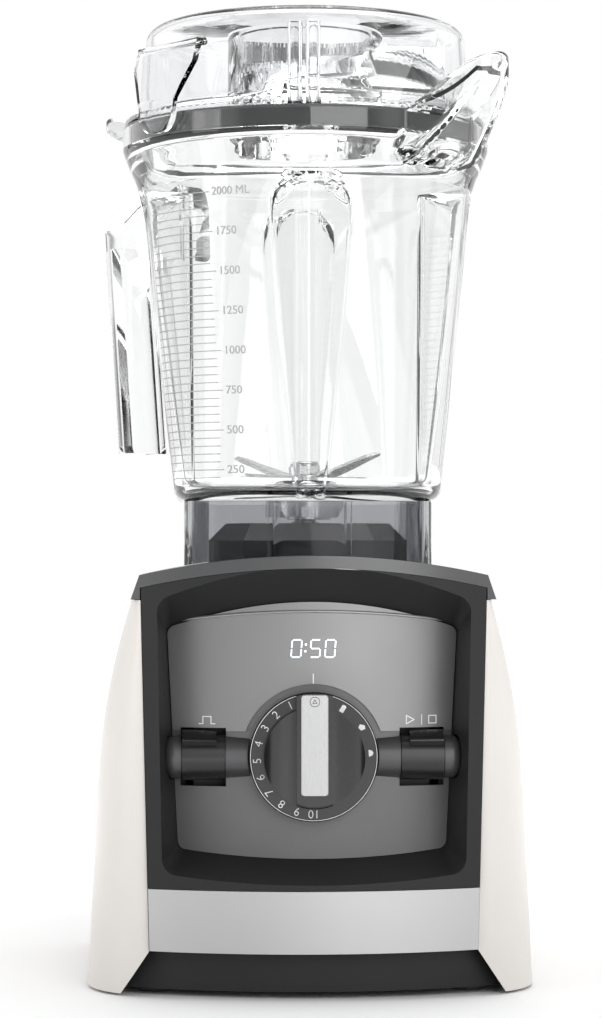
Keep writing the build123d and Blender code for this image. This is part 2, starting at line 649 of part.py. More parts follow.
# Control panel: a bowed plate with a boss for the dial, slots for the paddles, a window
# for the timer and four posts that carry the board.
with BuildPart() as control_panel:
    add(recess_slab(RECESS_DEPTH, RECESS_DEPTH + CONTROL_T, 0.25))
    with BuildSketch(Plane.XZ.offset(-DIAL_BOSS_Y)):
        with Locations((0, DIAL_Z)):
            Circle(DIAL_BOSS_R)
    extrude(amount=FRONT_Y - DIAL_BOSS_Y + CONTROL_T * 7)
    with BuildSketch(Plane.XZ.offset(-BOARD_Y + BOARD_T + 0.1)):
        with Locations((0, (BOARD_POST_Z[0] + BOARD_POST_Z[1]) / 2)):
            with GridLocations(2 * BOARD_POST_X, BOARD_POST_Z[1] - BOARD_POST_Z[0], 2, 2):
                Circle(BOARD_POST_R)
    extrude(amount=8.5)
    with BuildSketch(Plane.XZ.offset(-BOARD_Y)):
        with Locations((0, DIAL_Z)):
            Circle(DIAL_SHAFT_R + 2.0)
        with Locations((0, DISPLAY_Z)):
            Rectangle(DISPLAY_W + 2 * WINDOW_GAP, DISPLAY_H + 2 * WINDOW_GAP)
        with Locations((-PADDLE_MID, BAR_Z), (PADDLE_MID, BAR_Z)):
            Rectangle(*SLOT_SIZE)
    extrude(amount=BOARD_Y - FRONT_Y, mode=Mode.SUBTRACT)
save(control_panel, "control_panel")

# Gloss overlay on the upper part of the control panel, cut round the dial.
with BuildPart() as panel_overlay:
    add(recess_slab(RECESS_DEPTH - OVERLAY_T, RECESS_DEPTH, 0.6))
    with BuildSketch(Plane.XZ):
        with Locations((0, OVERLAY_BOTTOM_Z / 2)):
            Rectangle(2 * SIDE_HALF_WIDTH, OVERLAY_BOTTOM_Z)
        with Locations((0, DIAL_Z)):
            Circle(OVERLAY_HOLE_R)
        with Locations((-PADDLE_MID, BAR_Z), (PADDLE_MID, BAR_Z)):
            Rectangle(*SLOT_SIZE)
    extrude(amount=-FRONT_Y, mode=Mode.SUBTRACT)
save(panel_overlay, "panel_overlay")

# ======================= base: rear =======================
# Rear cover: a bowed shell with two banks of louvres and openings for switch and gland.
with BuildPart() as rear_cover:
    for inset, back, mode in ((0.0, 0.0, Mode.ADD), (REAR_COVER_T, REAR_COVER_T, Mode.SUBTRACT)):
        with BuildPart(mode=Mode.PRIVATE) as bowed:
            with BuildSketch(Plane.XZ.offset(-REAR_Y)):
                add(body_outline(REAR_COVER_INSET + inset, PLATE_TOP_Z + inset,
                                 DECK_UNDER_R - SEAM - inset))
            extrude(amount=REAR_Y - HOUSING_REAR_Y - (SEAM if inset == 0 else -SEAM))
            with BuildSketch(Plane.XY):
                with Locations((0, REAR_CENTRE_Y)):
                    Circle(REAR_RADIUS - back)
            extrude(amount=TALL, mode=Mode.INTERSECT)
        add(bowed.part, mode=mode)
    with BuildSketch(Plane.XZ.offset(-REAR_Y)):
        for side in (-1, 1):
            with Locations((side * (LOUVRE_SLOT[0] / 2 + 5.0), LOUVRE_Z)):
                with GridLocations(1, LOUVRE_PITCH, 1, LOUVRE_COUNT):
                    Rectangle(*LOUVRE_SLOT)
        with Locations(SWITCH_AT):
            Rectangle(SWITCH_SIZE[0] + 0.2, SWITCH_SIZE[1] + 0.2)
        with Locations(GLAND_AT):
            Circle(GLAND_R)
    extrude(amount=REAR_Y - HOUSING_REAR_Y - SEAM, mode=Mode.SUBTRACT)
save(rear_cover, "rear_cover")

# Power switch: a frame that fits the cover's opening, and a rocker on a cross pin.
with BuildPart() as power_switch_frame:
    with BuildSketch(Plane.XZ.offset(-SWITCH_BACK_Y)):
        with Locations(SWITCH_AT):
            Rectangle(*SWITCH_SIZE)
    extrude(amount=SWITCH_BACK_Y - SWITCH_FACE_Y)
    with BuildSketch(Plane.XZ.offset(-SWITCH_FACE_Y)):
        with Locations(SWITCH_AT):
            Rectangle(SWITCH_SIZE[0] - 2 * SWITCH_RIM, SWITCH_SIZE[1] - 2 * SWITCH_RIM)
    extrude(amount=SWITCH_FACE_Y - SWITCH_BACK_Y - 2.0, mode=Mode.SUBTRACT)
    with BuildSketch(Plane.YZ.offset(SWITCH_AT[0] - SWITCH_SIZE[0] / 2 + 0.5)):
        with Locations((ROCKER_Y, SWITCH_AT[1])):
            Circle(ROCKER_PIN_R)
    extrude(amount=SWITCH_SIZE[0] - 1.0)
save(power_switch_frame, "power_switch_frame")

with BuildPart() as level_rocker:
    with BuildSketch(Plane.YZ.offset(SWITCH_AT[0] - ROCKER_HALF_W)):
        with BuildLine():
            low, high = SWITCH_AT[1] - ROCKER_R + 0.5, SWITCH_AT[1] + ROCKER_R - 0.5
            crest = SWITCH_FACE_Y + 1.2
            Polyline((crest, low), (ROCKER_Y - 2.5, low + 3.0), (ROCKER_Y - 4.0, SWITCH_AT[1]),
                     (ROCKER_Y - 2.5, high - 3.0), (crest, high))
            ThreePointArc((crest, high), (SWITCH_FACE_Y - 0.6, SWITCH_AT[1]), (crest, low))
        make_face()
        with Locations((ROCKER_Y, SWITCH_AT[1])):
            Circle(ROCKER_PIN_R + SHAFT_GAP, mode=Mode.SUBTRACT)
    extrude(amount=2 * ROCKER_HALF_W)
with BuildPart() as power_rocker:
    rocker_axis = Axis((0, ROCKER_Y, SWITCH_AT[1]), (1, 0, 0))
    add(level_rocker.part.rotate(rocker_axis, -ROCKER_TILT))
save(power_rocker, "power_rocker")

# Cord gland: a flanged sleeve where the mains cord would enter.
with BuildPart() as cord_gland:
    with BuildSketch(Plane.XZ.offset(-HOUSING_REAR_Y - 3.0)):
        with Locations(GLAND_AT):
            Circle(GLAND_R - 0.1)
            Circle(GLAND_BORE_R, mode=Mode.SUBTRACT)
    extrude(amount=3.0 - (REAR_Y - HOUSING_REAR_Y) + 1.5)
save(cord_gland, "cord_gland")

# ======================= base: controls =======================
# Dial: a skirt and a hub with two scooped sides that leave a grip bar across it, which
# runs out to the skirt's edge under the pointer.
with BuildPart() as dial_knob:
    with BuildSketch(Plane.XZ.offset(-DIAL_BACK_Y)):
        with Locations((0, DIAL_Z)):
            Circle(DIAL_R)
    extrude(amount=DIAL_SKIRT_T)
    chamfer(dial_knob.edges().filter_by(GeomType.CIRCLE).group_by(Axis.Y)[0], 1.0)
    with BuildSketch(Plane.XZ.offset(-DIAL_BACK_Y + DIAL_SKIRT_T)):
        with Locations((0, DIAL_Z)):
            Circle(HUB_R)
    extrude(amount=HUB_T)
    fillet(dial_knob.edges().filter_by(GeomType.CIRCLE).group_by(Axis.Y)[0], 1.2)
    with BuildSketch(Plane.XZ.offset(-DIAL_BACK_Y + DIAL_SKIRT_T)):
        with Locations((0, DIAL_Z)):
            Circle(DIAL_R - 0.4)
            Rectangle(POINTER_W + 2 * GRIP_RIM, 4 * DIAL_R, mode=Mode.INTERSECT)
        with Locations((0, DIAL_Z + DIAL_R)):
            Rectangle(2 * DIAL_R, 2 * DIAL_R, mode=Mode.INTERSECT)
    extrude(amount=HUB_T)
    with BuildSketch(Plane.XY.offset(DIAL_Z - 2 * DIAL_R)):
        for side in (-1, 1):
            with BuildLine():
                wall_x = side * (POINTER_W / 2 + GRIP_RIM)
                deep_y = DIAL_FACE_Y + SCOOP_DEPTH
                Polyline((side * 2 * DIAL_R, DIAL_FACE_Y - 1.0), (wall_x, DIAL_FACE_Y - 1.0),
                         (wall_x, deep_y))
                ThreePointArc((wall_x, deep_y), (side * SCOOP_MID_X, deep_y - 1.6),
                              (side * HUB_R, DIAL_FACE_Y + 1.4))
                Line((side * HUB_R, DIAL_FACE_Y + 1.4), (side * 2 * DIAL_R, DIAL_FACE_Y - 1.0))
            make_face()
    extrude(amount=4 * DIAL_R, mode=Mode.SUBTRACT)
    with BuildSketch(Plane.XZ.offset(-DIAL_BACK_Y + 2.5)):
        with Locations((0, DIAL_Z)):
            Circle(DIAL_SHAFT_R)
    extrude(amount=-(2.5 + DIAL_SHAFT_LENGTH))
    with BuildSketch(Plane.XZ.offset(-DIAL_FACE_Y + POINTER_T)):
        with Locations((0, POINTER_MID_Z)):
            RectangleRounded(POINTER_W + 0.1, POINTER_TOP + POINTER_FOOT + 0.1, 1.5)
    extrude(amount=-2 * POINTER_T, mode=Mode.SUBTRACT)
save(dial_knob, "dial_knob")

# Dial pointer: a bright bar let into the top of the grip.
with BuildPart() as dial_pointer:
    with BuildSketch(Plane.XZ.offset(-DIAL_FACE_Y - POINTER_T)):
        with Locations((0, POINTER_MID_Z)):
            RectangleRounded(POINTER_W, POINTER_TOP + POINTER_FOOT, 1.5)
    extrude(amount=POINTER_T + 0.4)
    chamfer(dial_pointer.faces().sort_by(Axis.Y)[0].edges(), 0.3)
save(dial_pointer, "dial_pointer")


# Bars and paddles: half-round bars on the panel, each with a neck that a paddle swings on.
def bar_cylinder(radius, start_x, end_x):
    """A stretch of round bar on the paddle axis."""
    with BuildPart() as stretch:
        with BuildSketch(Plane.YZ.offset(start_x)):
            with Locations((BAR_Y, BAR_Z)):
                Circle(radius)
        extrude(amount=end_x - start_x)
    return stretch.part


with BuildPart() as right_bar:
    add(bar_cylinder(BAR_R, BAR_INNER_X, PADDLE_X[0] - SEAM))
    add(bar_cylinder(BAR_R, PADDLE_X[1] + SEAM, BAR_OUTER_X))
    fillet(right_bar.edges().group_by(Axis.X)[-1], 5.0)
    add(recess_slab(RECESS_DEPTH, RECESS_DEPTH + 30.0, -12.0), mode=Mode.SUBTRACT)
    with BuildSketch(Plane.XZ):
        with Locations((0, DIAL_Z)):
            Circle(DIAL_R + 0.6)
    extrude(amount=-FRONT_Y, mode=Mode.SUBTRACT)
    add(bar_cylinder(NECK_R, PADDLE_X[0] - SEAM - 0.2, PADDLE_X[1] + SEAM + 0.2))
save(right_bar, "right_bar")

with BuildPart() as left_bar:
    mirror(right_bar.part, about=Plane.YZ)
save(left_bar, "left_bar")


def paddle_ring(radius, bore, start_deg, end_deg):
    """Side view of a ring sector about the bar; 180 degrees faces the front, 90 is up."""
    with BuildSketch() as sector:
        with BuildLine():
            tips = [(radius * math.cos(math.radians(a)), radius * math.sin(math.radians(a)))
                    for a in (start_deg, (start_deg + end_deg) / 2, end_deg)]
            roots = [(bore * math.cos(math.radians(a)), bore * math.sin(math.radians(a)))
                     for a in (end_deg, (start_deg + end_deg) / 2, start_deg)]
            ThreePointArc(*tips)
            Line(tips[-1], roots[0])
            ThreePointArc(*roots)
            Line(roots[-1], tips[0])
        make_face()
    return sector.sketch


with BuildPart() as start_stop_paddle:
    with BuildSketch(Plane.YZ.offset(PADDLE_X[0])):
        with Locations((BAR_Y, BAR_Z)):
            add(paddle_ring(PADDLE_R, NECK_R + SHAFT_GAP, *PADDLE_SWEEP))
    extrude(amount=PADDLE_X[1] - PADDLE_X[0])
    with BuildSketch(Plane.YZ.offset(PADDLE_MID - LUG_W / 2)):
        with Locations(LUG_AT):
            Rectangle(*LUG_SIZE)
    extrude(amount=LUG_W)
save(start_stop_paddle, "start_stop_paddle")

with BuildPart() as start_stop_key:
    with BuildSketch(Plane.YZ.offset(KEY_X[0])):
        with Locations((BAR_Y, BAR_Z)):
            add(paddle_ring(PADDLE_R + KEY_T, PADDLE_R, *KEY_SWEEP))
    extrude(amount=KEY_X[1] - KEY_X[0])
save(start_stop_key, "start_stop_key")

with BuildPart() as pulse_paddle:
    mirror(start_stop_paddle.part, about=Plane.YZ)
save(pulse_paddle, "pulse_paddle")

with BuildPart() as pulse_key:
    with BuildSketch(Plane.YZ.offset(-KEY_X[1])):
        with Locations((BAR_Y, BAR_Z)):
            add(paddle_ring(PADDLE_R + KEY_T, PADDLE_R, *KEY_SWEEP))
    extrude(amount=KEY_X[1] - KEY_X[0])
save(pulse_key, "pulse_key")

# Control board on the panel's posts, with the timer display, the encoder and two switches.
with BuildPart() as control_board:
    with BuildSketch(Plane.XZ.offset(-BOARD_Y)):
        with Locations((0, (BOARD_Z[0] + BOARD_Z[1]) / 2)):
            RectangleRounded(2 * BOARD_HALF, BOARD_Z[1] - BOARD_Z[0], 3.0)
    extrude(amount=BOARD_T)
save(control_board, "control_board")

with BuildPart() as timer_display:
    with BuildSketch(Plane.XZ.offset(-BOARD_FACE_Y)):
        with Locations((0, DISPLAY_Z)):
            Rectangle(DISPLAY_W, DISPLAY_H)
    extrude(amount=BOARD_FACE_Y - DISPLAY_FACE_Y)
save(timer_display, "timer_display")

with BuildPart() as dial_encoder:
    with BuildSketch(Plane.XZ.offset(-BOARD_FACE_Y)):
        with Locations((0, DIAL_Z)):
            Rectangle(16.0, 16.0)
            Circle(DIAL_SHAFT_R + SHAFT_GAP, mode=Mode.SUBTRACT)
    extrude(amount=10.0)
save(dial_encoder, "dial_encoder")

for name, side in (("pulse_switch", -1), ("start_stop_switch", 1)):
    with BuildPart() as switch:
        with BuildSketch(Plane.XZ.offset(-BOARD_FACE_Y)):
            with Locations((side * PADDLE_MID, LUG_AT[1])):
                Rectangle(6.0, 6.0)
        extrude(amount=0.9)
        with BuildSketch(Plane.XZ.offset(-BOARD_FACE_Y + 0.9)):
            with Locations((side * PADDLE_MID, LUG_AT[1])):
                Circle(1.7)
        extrude(amount=BOARD_FACE_Y - 0.9 - LUG_END_Y - SWITCH_GAP)
    save(switch, name)

# ======================= base: motor =======================
def posts(bottom_z, top_z):
    """The four upright posts that tie the brackets and the stator together."""
    with BuildPart() as four:
        with BuildSketch(Plane.XY.offset(bottom_z)):
            with Locations(*POST_AT):
                Circle(POST_R)
        extrude(amount=top_z - bottom_z)
    return four.part


def bracket(plate_z, pocket_up):
    """An end bracket: a square plate with a hub that holds a bearing."""
    hub_t = BEARING_T + BEARING_LIP
    hub_z = plate_z if pocket_up else plate_z + BRACKET_T - hub_t
    pocket_z = hub_z + BEARING_LIP if pocket_up else hub_z
    with BuildPart() as plate:
        with BuildSketch(Plane.XY.offset(plate_z)):
            RectangleRounded(2 * STATOR_HALF, 2 * STATOR_HALF, STATOR_HALF - POST_XY)
            with PolarLocations(28.0, 4):
                SlotOverall(22.0, 12.0, rotation=90, mode=Mode.SUBTRACT)
        extrude(amount=BRACKET_T)
        with BuildSketch(Plane.XY.offset(hub_z)):
            Circle(BEARING_R + 3.0)
        extrude(amount=hub_t)
        with BuildSketch(Plane.XY.offset(pocket_z)):
            Circle(BEARING_R + 0.02)
        extrude(amount=BEARING_T, mode=Mode.SUBTRACT)
        with BuildSketch(Plane.XY.offset(hub_z)):
            Circle(MOTOR_SHAFT_R + 1.5)
        extrude(amount=hub_t, mode=Mode.SUBTRACT)
    return plate.part


def ring(outer_r, inner_r, bottom_z, top_z):
    """A plain ring about the drive axis."""
    with BuildPart() as hoop:
        with BuildSketch(Plane.XY.offset(bottom_z)):
            Circle(outer_r)
            Circle(inner_r, mode=Mode.SUBTRACT)
        extrude(amount=top_z - bottom_z)
    return hoop.part


with BuildPart() as lower_bracket:
    add(bracket(LOWER_BRACKET_Z, True))
    add(posts(PLATE_TOP_Z, LOWER_BRACKET_Z))
    add(posts(LOWER_BRACKET_Z + BRACKET_T, STATOR_Z[0]))
save(lower_bracket, "lower_bracket")

with BuildPart() as upper_bracket:
    add(bracket(UPPER_BRACKET_Z, False))
    add(posts(STATOR_Z[1], UPPER_BRACKET_Z))
save(upper_bracket, "upper_bracket")

for name, seat_z in (("lower_bearing", LOWER_BEARING_Z), ("upper_bearing", UPPER_BEARING_Z)):
    with BuildPart() as bearing:
        add(ring(BEARING_R, MOTOR_SHAFT_R + SHAFT_GAP, seat_z, seat_z + BEARING_T))
        chamfer(bearing.edges().filter_by(GeomType.CIRCLE).group_by(SortBy.RADIUS)[-1], 0.6)
    save(bearing, name)

with BuildPart() as motor_stator:
    with BuildSketch(Plane.XY.offset(STATOR_Z[0])):
        RectangleRounded(2 * STATOR_HALF, 2 * STATOR_HALF, 16.0)
        Circle(ROTOR_R + AIR_GAP, mode=Mode.SUBTRACT)
        with PolarLocations(ROTOR_R + 6.5, 2, start_angle=0):
            Rectangle(9.0, 26.0, mode=Mode.SUBTRACT)
    extrude(amount=STATOR_Z[1] - STATOR_Z[0])
save(motor_stator, "motor_stator")

with BuildPart() as field_windings:
    for bottom_z in (STATOR_Z[0] - WINDING_T, STATOR_Z[1]):
        with BuildSketch(Plane.XY.offset(bottom_z)):
            for turn in (90, 270):
                with Locations(Location((0, 0, 0), (0, 0, turn))):
                    add(paddle_ring(WINDING_R[1], WINDING_R[0], -62, 62))
        extrude(amount=WINDING_T)
    fillet(field_windings.edges().filter_by(GeomType.CIRCLE), 2.5)
save(field_windings, "field_windings")

with BuildPart() as motor_rotor:
    with BuildSketch(Plane.XY.offset(STATOR_Z[0] - 1.0)):
        Circle(ROTOR_R)
        Circle(MOTOR_SHAFT_R, mode=Mode.SUBTRACT)
        with PolarLocations(ROTOR_R, 12):
            Rectangle(5.0, 2.4, mode=Mode.SUBTRACT)
    extrude(amount=STATOR_Z[1] - STATOR_Z[0] + 2.0)
save(motor_rotor, "motor_rotor")

with BuildPart() as commutator:
    add(ring(COMMUTATOR_R, MOTOR_SHAFT_R, *COMMUTATOR_Z))
save(commutator, "commutator")

with BuildPart() as carbon_brushes:
    with BuildSketch(Plane.YZ.offset(-BRUSH_END_X)):
        with Locations((0, BRUSH_MID_Z)):
            Rectangle(BRUSH_W, BRUSH_H)
    extrude(amount=2 * BRUSH_END_X)
    with BuildSketch(Plane.XY.offset(COMMUTATOR_Z[0])):
        Circle(COMMUTATOR_R + SHAFT_GAP)
    extrude(amount=COMMUTATOR_Z[1] - COMMUTATOR_Z[0], mode=Mode.SUBTRACT)
save(carbon_brushes, "carbon_brushes")

with BuildPart() as brush_holders:
    with BuildSketch(Plane.YZ.offset(-BRUSH_END_X)):
        with Locations((0, BRUSH_MID_Z)):
            Rectangle(BRUSH_W + 2 * HOLDER_WALL, BRUSH_H + 2 * HOLDER_WALL)
            Rectangle(BRUSH_W + 0.1, BRUSH_H + 0.1, mode=Mode.SUBTRACT)
    extrude(amount=2 * BRUSH_END_X)
    with BuildSketch(Plane.XY.offset(COMMUTATOR_Z[0] - 5.0)):
        Circle(COMMUTATOR_R + 3.0)
    extrude(amount=COMMUTATOR_Z[1] - COMMUTATOR_Z[0] + 5.0, mode=Mode.SUBTRACT)
    with BuildSketch(Plane.XY.offset(BRUSH_MID_Z + BRUSH_H / 2 + HOLDER_WALL)):
        with Locations((-HOLDER_STALK_X, 0), (HOLDER_STALK_X, 0)):
            Rectangle(5.0, BRUSH_W)
    extrude(amount=UPPER_BRACKET_Z - BRUSH_MID_Z - BRUSH_H / 2 - HOLDER_WALL)
save(brush_holders, "brush_holders")

with BuildPart() as motor_shaft:
    with BuildSketch(Plane.XY.offset(SHAFT_BOTTOM_Z)):
        Circle(MOTOR_SHAFT_R)
    extrude(amount=SHAFT_SHOULDER_Z - SHAFT_BOTTOM_Z)
    with BuildSketch(Plane.XY.offset(SHAFT_SHOULDER_Z)):
        Circle(SOCKET_STUB_R)
    extrude(amount=SOCKET_FLOOR_Z - SHAFT_SHOULDER_Z - 0.5)
    chamfer(motor_shaft.faces().filter_by(Axis.Z).sort_by(Axis.Z)[0].edges(), 0.8)
save(motor_shaft, "motor_shaft")

with BuildPart() as cooling_fan:
    add(ring(10.0, MOTOR_SHAFT_R, *FAN_Z))
    add(ring(FAN_R, 9.0, FAN_Z[1] - 2.0, FAN_Z[1]))
    with BuildSketch(Plane.XY.offset(FAN_Z[0])):
        with PolarLocations(22.0, FAN_BLADES):
            Rectangle(26.0, 1.6, rotation=18)
    extrude(amount=FAN_Z[1] - FAN_Z[0] - 1.0)
save(cooling_fan, "cooling_fan")


# ======================= drive coupling =======================
def spline_section(clearance):
    """Toothed section of the drive spline, grown by a clearance."""
    with BuildSketch() as toothed:
        Circle(SPLINE_ROOT_R + clearance)
        with PolarLocations((SPLINE_R + clearance) / 2, SPLINE_TEETH):
            Rectangle(SPLINE_R + clearance, 1.8 + 2 * clearance)
    return toothed.sketch


with BuildPart() as drive_socket:
    with BuildSketch(Plane.XY.offset(SHAFT_SHOULDER_Z)):
        Circle(SOCKET_R)
        Circle(SOCKET_STUB_R, mode=Mode.SUBTRACT)
    extrude(amount=SOCKET_TOP_Z - SHAFT_SHOULDER_Z)
    with BuildSketch(Plane.XY.offset(SOCKET_FLOOR_Z)):
        add(spline_section(SPLINE_GAP))
    extrude(amount=SOCKET_TOP_Z - SOCKET_FLOOR_Z, mode=Mode.SUBTRACT)
    chamfer(drive_socket.faces().sort_by(Axis.Z)[-1].outer_wire().edges(), 2.0)
save(drive_socket, "drive_socket")

with BuildPart() as blade_shaft:
    with BuildSketch(Plane.XY.offset(SOCKET_FLOOR_Z + 0.6)):
        add(spline_section(0))
    extrude(amount=SOCKET_TOP_Z - SOCKET_FLOOR_Z + 1.0)
    with BuildSketch(Plane.XY.offset(SOCKET_FLOOR_Z + 0.6)):
        Circle(BLADE_SHAFT_R)
    extrude(amount=BLADE_Z + BLADE_T - SOCKET_FLOOR_Z - 0.6)
    with BuildSketch(Plane.XY.offset(BLADE_Z + BLADE_T)):
        Circle(BLADE_THREAD_R)
    extrude(amount=5.0)
save(blade_shaft, "blade_shaft")

# ======================= container =======================
HANDLE_PLANE = radial_plane(HANDLE_TURN)
SPOUT_PLANE = radial_plane(SPOUT_TURN)


def jar_block(inset, bottom_z):
    """The jar's tapering body, rounded square below and round at the neck, less an inset."""
    taper = (JAR_NECK_R - JAR_BOTTOM_HALF) / (JAR_NECK_Z - JAR_BOTTOM_Z)
    half = JAR_BOTTOM_HALF + taper * (bottom_z - JAR_BOTTOM_Z) - inset
    neck = JAR_NECK_R - inset
    with BuildPart() as block:
        with BuildSketch(Plane.XY.offset(bottom_z)):
            RectangleRounded(2 * half, 2 * half, JAR_BOTTOM_CORNER - inset)
        with BuildSketch(Plane.XY.offset(JAR_NECK_Z)):
            RectangleRounded(2 * neck, 2 * neck, neck - 0.4)
        loft()
    return block.part


def flute(crest_r, top_z, arch_r, nose_r):
    """One flute: an upright wedge with a round nose at a crest radius and an arched top."""
    lean = math.radians(FLUTE_SLOPE)
    nose_at = crest_r + nose_r
    touch = (nose_at - nose_r * math.sin(lean), nose_r * math.cos(lean))
    reach = RIM_R + 10.0
    far = (reach, touch[1] + (reach - touch[0]) * math.tan(lean))
    with BuildPart() as wedge:
        with BuildSketch(Plane.XY.offset(PAD_TOP_Z)):
            with BuildLine():
                ThreePointArc((touch[0], -touch[1]), (crest_r, 0), touch)
                Polyline(touch, far, (far[0], -far[1]), (touch[0], -touch[1]))
            make_face()
        extrude(amount=top_z - PAD_TOP_Z)
        with BuildSketch(Plane.YZ.offset(0)):
            with BuildLine():
                Polyline((arch_r, top_z - arch_r), (arch_r, 0), (-arch_r, 0),
                         (-arch_r, top_z - arch_r))
                ThreePointArc((-arch_r, top_z - arch_r), (0, top_z), (arch_r, top_z - arch_r))
            make_face()
        extrude(amount=reach + 1.0, mode=Mode.INTERSECT)
    return wedge.part


def all_flutes(crest_r, top_z, arch_r, nose_r):
    """The four flutes: front, right, back and left."""
    one = flute(crest_r, top_z, arch_r, nose_r)
    return [one.rotate(Axis.Z, 90.0 * quarter) for quarter in range(4)]


def rim_profile():
    """Half section of the jar's shoulder and rim, as outer points then inner points."""
    outer = [(JAR_NECK_R, JAR_NECK_Z), (JAR_NECK_R + 2.0, JAR_NECK_Z + 6.0),
             (JAR_NECK_R + 4.4, JAR_NECK_Z + 11.0), (RIM_R, RIM_SHELF_Z), (RIM_R, RIM_TOP_Z)]
    inner_r = RIM_R - RIM_WALL
    inner = [(inner_r, RIM_TOP_Z), (inner_r, RIM_SHELF_Z + 1.0),
             (inner_r - 3.6, RIM_SHELF_Z - 0.6), (JAR_NECK_R - JAR_WALL + 1.6, JAR_NECK_Z + 8.0),
             (JAR_NECK_R - JAR_WALL, JAR_NECK_Z)]
    return outer, inner


def spout_plan(inset, root_r):
    """Plan of the spout along +X: straight sides that run in to a round nose."""
    nose_r = SPOUT_NOSE_R - inset
    run = SPOUT_NOSE_AT - root_r
    root_half = SPOUT_ROOT_HALF - inset
    lean = math.asin((root_half - nose_r) / math.hypot(run, root_half - nose_r))
    touch = (SPOUT_NOSE_AT + nose_r * math.sin(lean), nose_r * math.cos(lean))
    with BuildSketch() as plan:
        with BuildLine():
            Polyline((touch[0], -touch[1]), (root_r, -root_half), (root_r, root_half), touch)
            ThreePointArc(touch, (SPOUT_NOSE_AT + nose_r, 0), (touch[0], -touch[1]))
        make_face()
    return plan.sketch


def spout_block(inset, root_r, floor_rise, top_rise):
    """The spout's outer block, or its channel when inset, pointing along the spout's turn."""
    tip = SPOUT_NOSE_AT + SPOUT_NOSE_R
    with BuildPart() as block:
        with BuildSketch(Plane.XY.offset(JAR_NECK_Z)):
            add(spout_plan(inset, root_r))
        extrude(amount=80.0)
        with BuildSketch(Plane.XZ.offset(-60.0)):
            with BuildLine():
                low_z = SPOUT_ROOT_Z + floor_rise
                chin_z = SPOUT_TIP_Z - 5.0 + floor_rise
                Polyline((root_r, low_z), (RIM_R, low_z + 2.0))
                Spline((RIM_R, low_z + 2.0), (SPOUT_NOSE_AT - 6.0, low_z + 17.5), (tip, chin_z))
                Polyline((tip, chin_z), (tip, SPOUT_TIP_Z + top_rise),
                         (RIM_R, RIM_TOP_Z + top_rise), (root_r, RIM_TOP_Z + top_rise),
                         (root_r, low_z))
            make_face()
        extrude(amount=120.0, mode=Mode.INTERSECT)
    return block.part.rotate(Axis.Z, SPOUT_TURN)


rim_outer, rim_inner = rim_profile()
with BuildPart() as jar_solid:
    add(jar_block(0, JAR_BOTTOM_Z))
    fillet(jar_solid.faces().sort_by(Axis.Z)[0].outer_wire().edges(), 6.0)
    add(all_flutes(FLUTE_INNER_R + JAR_WALL, FLUTE_TOP_Z - JAR_WALL, FLUTE_ARCH_R - JAR_WALL,
                   FLUTE_NOSE_R), mode=Mode.SUBTRACT)
    with BuildSketch(Plane.XZ):
        with BuildLine():
            Polyline((0, JAR_NECK_Z), *rim_outer, (0, RIM_TOP_Z), (0, JAR_NECK_Z))
        make_face()
    revolve(axis=Axis.Z)
    add(spout_block(0, SPOUT_ROOT_R, 0, 0))

with BuildPart() as jar_hollow:
    add(jar_block(JAR_WALL, JAR_BOTTOM_Z + JAR_FLOOR_T))
    fillet(jar_hollow.faces().sort_by(Axis.Z)[0].outer_wire().edges(), 5.0)
    add(all_flutes(FLUTE_INNER_R, FLUTE_TOP_Z, FLUTE_ARCH_R, FLUTE_NOSE_R + JAR_WALL),
        mode=Mode.SUBTRACT)
    with BuildSketch(Plane.XZ):
        with BuildLine():
            Polyline((0, JAR_NECK_Z), (0, TALL), (rim_inner[0][0], TALL), *rim_inner,
                     (0, JAR_NECK_Z))
        make_face()
    revolve(axis=Axis.Z)
    add(spout_block(SPOUT_FLOOR_T, SPOUT_ROOT_R, SPOUT_FLOOR_T + 1.0, 40.0))

with BuildPart() as jar:
    add(jar_solid.part)
    add(jar_hollow.part, mode=Mode.SUBTRACT)
    with BuildSketch(Plane.XY):
        Circle(SLEEVE_R + 0.05)
    extrude(amount=JAR_NECK_Z, mode=Mode.SUBTRACT)
save(jar, "jar")

# Skirt: the square-round wall below the jar that drops over the centring pad.
with BuildPart() as jar_skirt:
    with BuildSketch(Plane.XY.offset(SHOULDER_Z)):
        RectangleRounded(2 * SKIRT_HALF, 2 * SKIRT_HALF, SKIRT_CORNER)
        RectangleRounded(2 * (SKIRT_HALF - SKIRT_WALL), 2 * (SKIRT_HALF - SKIRT_WALL),
                         SKIRT_CORNER - SKIRT_WALL, mode=Mode.SUBTRACT)
        rib_length = SKIRT_HALF - SKIRT_WALL - PAD_HALF - PLUG_GAP + 1.0
        with PolarLocations(PAD_HALF + PLUG_GAP + rib_length / 2, 4):
            with Locations((0, -SKIRT_RIB_X), (0, SKIRT_RIB_X)):
                Rectangle(rib_length, SKIRT_RIB_W)
    extrude(amount=SKIRT_TOP_Z - SHOULDER_Z)
    with BuildSketch(Plane.XZ.offset(-2 * SKIRT_HALF)):
        with Locations((0, ARCH_CENTRE_Z)):
            Circle(ARCH_RADIUS + SEAT_GAP)
    extrude(amount=4 * SKIRT_HALF, mode=Mode.SUBTRACT)
    add(jar_block(0, JAR_BOTTOM_Z), mode=Mode.SUBTRACT)
save(jar_skirt, "jar_skirt")

